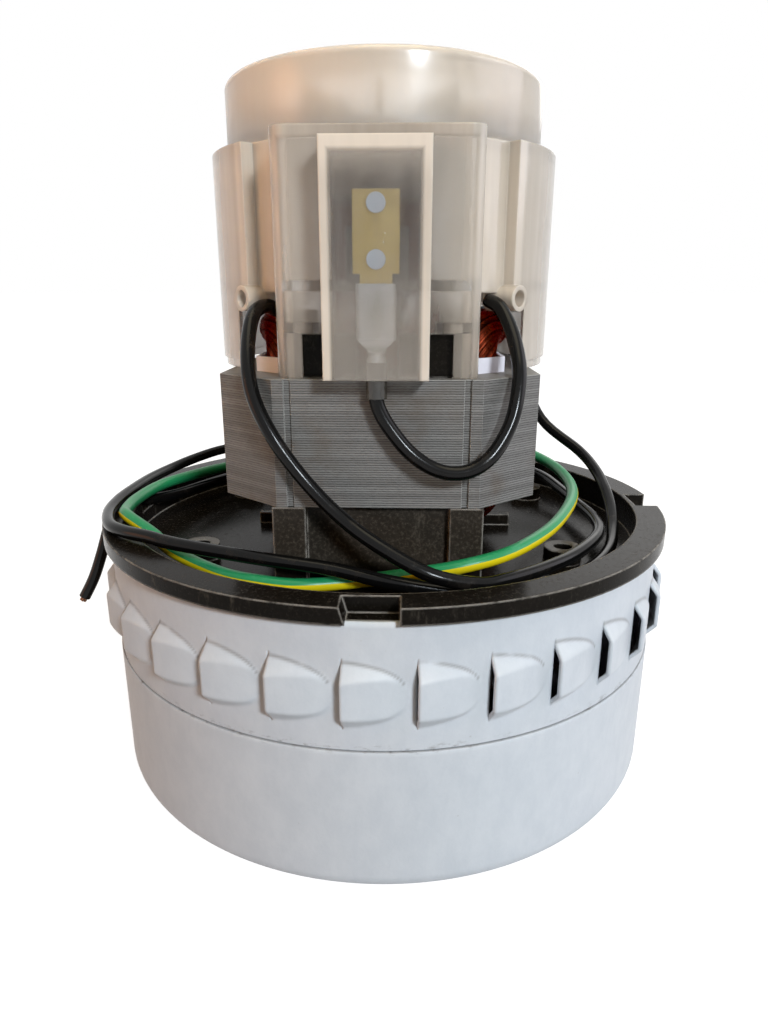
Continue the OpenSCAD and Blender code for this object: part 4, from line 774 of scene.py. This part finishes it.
def push_terminal(name, side, node):
    """Push-on terminal of 0.4 mm sheet: a flat front rolled inwards at both sides, a neck that tapers down to
    a round barrel with a crimped waist on the wire."""
    half, roll, reach, roll_y = 0.2, 0.85, 2.75, -48.95
    neck_z, barrel_z, rise, barrel_r, crimp = 106.8, 105, 2.6, 1.9, 0.35
    a = np.radians(np.linspace(-90, 165, 14))
    right = np.stack([reach + roll * np.cos(a), roll_y + roll * np.sin(a)], -1)
    sets, faces, count = [], [], 0
    t = np.linspace(0, 1, 9)
    width = 1.5 + 1.9 * t ** 2 * (3 - 2 * t)
    neck = np.stack([np.stack([width * i, np.full(9, k), neck_z + rise * t], -1)
                     for i, k in ((-1, -49.98), (1, -49.98), (1, -49.5), (-1, -49.5))], 1)
    v = np.linspace(0, TURN, 28, endpoint=False)
    waist = (barrel_r - crimp * np.exp(-((t - 0.5) / 0.22) ** 2))[:, None]
    barrel = np.stack([waist * np.cos(v), waist * np.sin(v) - HOLDER_END,
                       (barrel_z + rise * t)[:, None] + 0 * v], -1)
    flat = np.stack([np.linspace(-reach, reach, 13), np.full(13, right[0, 1])], -1)[1:-1]
    path = np.vstack([right[::-1] * np.array([-1, 1]), flat, right])
    along = unit(np.gradient(path, axis=0))
    out = np.stack([along[:, 1], -along[:, 0]], -1)
    ring = np.vstack([path + half * out, (path - half * out)[::-1]])
    levels = np.concatenate([[109.1, 109.2], np.linspace(110, 118.7, 12), [119.2, 119.3]])
    tab = np.stack([np.column_stack([ring, np.full(len(ring), z)]) for z in levels])
    for grid in (tab, neck, barrel):
        rows, columns = grid.shape[:2]
        ends = np.stack([np.arange(columns)[::-1], np.arange(columns) + (rows - 1) * columns]) + count
        faces += (quads(rows, columns) + count).tolist() + ends.tolist()
        sets.append(grid.reshape(-1, 3))
        count += rows * columns
    points = np.vstack(sets)
    # painted shade and reflection: a grey band down the middle of the front and a grey ring round the neck
    # stand in for dark reflections
    painted_shade = 0.5 * np.exp(-(points[:, 0] / 1.9) ** 2) * np.exp(-((points[:, 2] - 114.6) / 3.6) ** 2) \
        + 0.5 * np.exp(-((points[:, 2] - 107.4) / 0.7) ** 2)
    return piece(name, points * np.array([side, side, 1]), faces, "bright_steel", [node], sharp=35,
                 marks={"painted_shade": painted_shade})


push_terminal("front_push_terminal", 1, "front_brush_terminal")
push_terminal("rear_push_terminal", -1, "rear_brush_terminal")
field_coil("right_field_wire", 1, ["right_coil_core", "right_coil_winding"])
field_coil("left_field_wire", -1, ["left_coil_core", "left_coil_winding"])
armature_turns()
brush_spring("front_pressure_spring", 1, "front_brush_spring")
brush_spring("rear_pressure_spring", -1, "rear_brush_spring")


# ---------------------------------------------------------------- floor, light
def floor_white():
    """White floor that keeps a soft shadow: where it is seen it adds its own light to what falls on it, up to
    full white away from the motor."""
    f = Finish("floor_white")
    tooth = f.noise(0.02, 3.0)
    grey = f.mix(tooth, (0.31, 0.31, 0.315, 1), (0.33, 0.33, 0.335, 1))
    plain = f.node("ShaderNodeBsdfDiffuse", None, {"Color": grey})
    out = f.node("ShaderNodeVectorMath", {"operation": "LENGTH"}, {0: f.mm}, 1)
    near = f.node("ShaderNodeEmission", None, {"Color": (1, 1, 1, 1), "Strength": 0.93})
    far = f.node("ShaderNodeEmission", None, {"Color": (1, 1, 1, 1), "Strength": 1.0})
    glow = f.node("ShaderNodeMixShader", None, {0: f.step(out, 120.0, 420.0), 1: near, 2: far})
    lit = f.node("ShaderNodeAddShader", None, {0: plain, 1: glow})
    f.close(f.node("ShaderNodeMixShader", None, {0: f.seen(), 1: plain, 2: lit}))
    return f.material


LAMPS = (
    # name, place, size, power, colour, spread in degrees, height aimed at, shows in gloss
    ("window", (0.414, -0.888, 0.58), 0.20, 9.6, (0.85, 0.93, 1.0), 180, 0.08, True),
    ("side_window", (0.81, -0.03, 0.46), 0.7, 2.2, (0.93, 0.90, 1.0), 180, 0.08, True),
    ("ceiling", (0.05, -0.15, 1.05), 0.7, 2.9, (1.0, 0.88, 0.58), 180, 0.08, True),
    ("lamp", (-0.70, -0.30, 0.22), 0.4, 0.75, (1.0, 0.32, 0.08), 180, 0.08, True),
    ("glow", (-0.62, -0.22, 0.34), 0.12, 0.026, (1.0, 0.60, 0.26), 18, 0.15, False),
    ("back_wall", (0.35, 0.75, 0.55), 0.5, 0.8, (1.0, 0.98, 0.95), 180, 0.08, True))


def floor_sheet():
    """Floor out to the horizon, just below the sole."""
    far, low = 60, -0.0002
    mesh = bpy.data.meshes.new("floor")
    mesh.from_pydata([(-far, -far, low), (far, -far, low), (far, far, low), (-far, far, low)], [],
                     [(0, 1, 2, 3)])
    mesh.materials.append(floor_white())
    floor = bpy.data.objects.new("floor", mesh)
    bpy.context.scene.collection.objects.link(floor)


def studio():
    """A dim warm room that looks white, a near window, a broad cool one at the right, a ceiling, a low warm
    lamp with a narrow glow on the hood at the left, a pale wall behind."""
    world = bpy.data.worlds.new("pale_room")
    bpy.context.scene.world = world
    room = Shader(world)
    warm = room.node("ShaderNodeBackground", None, {"Color": (1.0, 0.86, 0.60, 1), "Strength": 0.09})
    white = room.node("ShaderNodeBackground", None, {"Color": (1, 1, 1, 1), "Strength": 1.0})
    room.close(room.node("ShaderNodeMixShader", None, {0: room.seen(), 1: warm, 2: white}),
               "ShaderNodeOutputWorld")
    for name, place, size, power, colour, spread, height, glossy in LAMPS:
        light = bpy.data.lights.new(name, "AREA")
        light.shape = "DISK"
        light.size = size
        light.energy = power
        light.color = colour
        light.spread = math.radians(spread)
        holder = bpy.data.objects.new(name, light)
        holder.visible_transmission = False
        holder.visible_glossy = glossy
        bpy.context.scene.collection.objects.link(holder)
        aim = np.array([0, 0, height]) - np.array(place)
        tilt = math.acos(-aim[2] / np.linalg.norm(aim))
        holder.location = place
        holder.rotation_euler = (tilt, 0, math.atan2(aim[0], -aim[1]) + math.pi)


floor_sheet()
studio()
bpy.context.scene.view_settings.view_transform = "Standard"
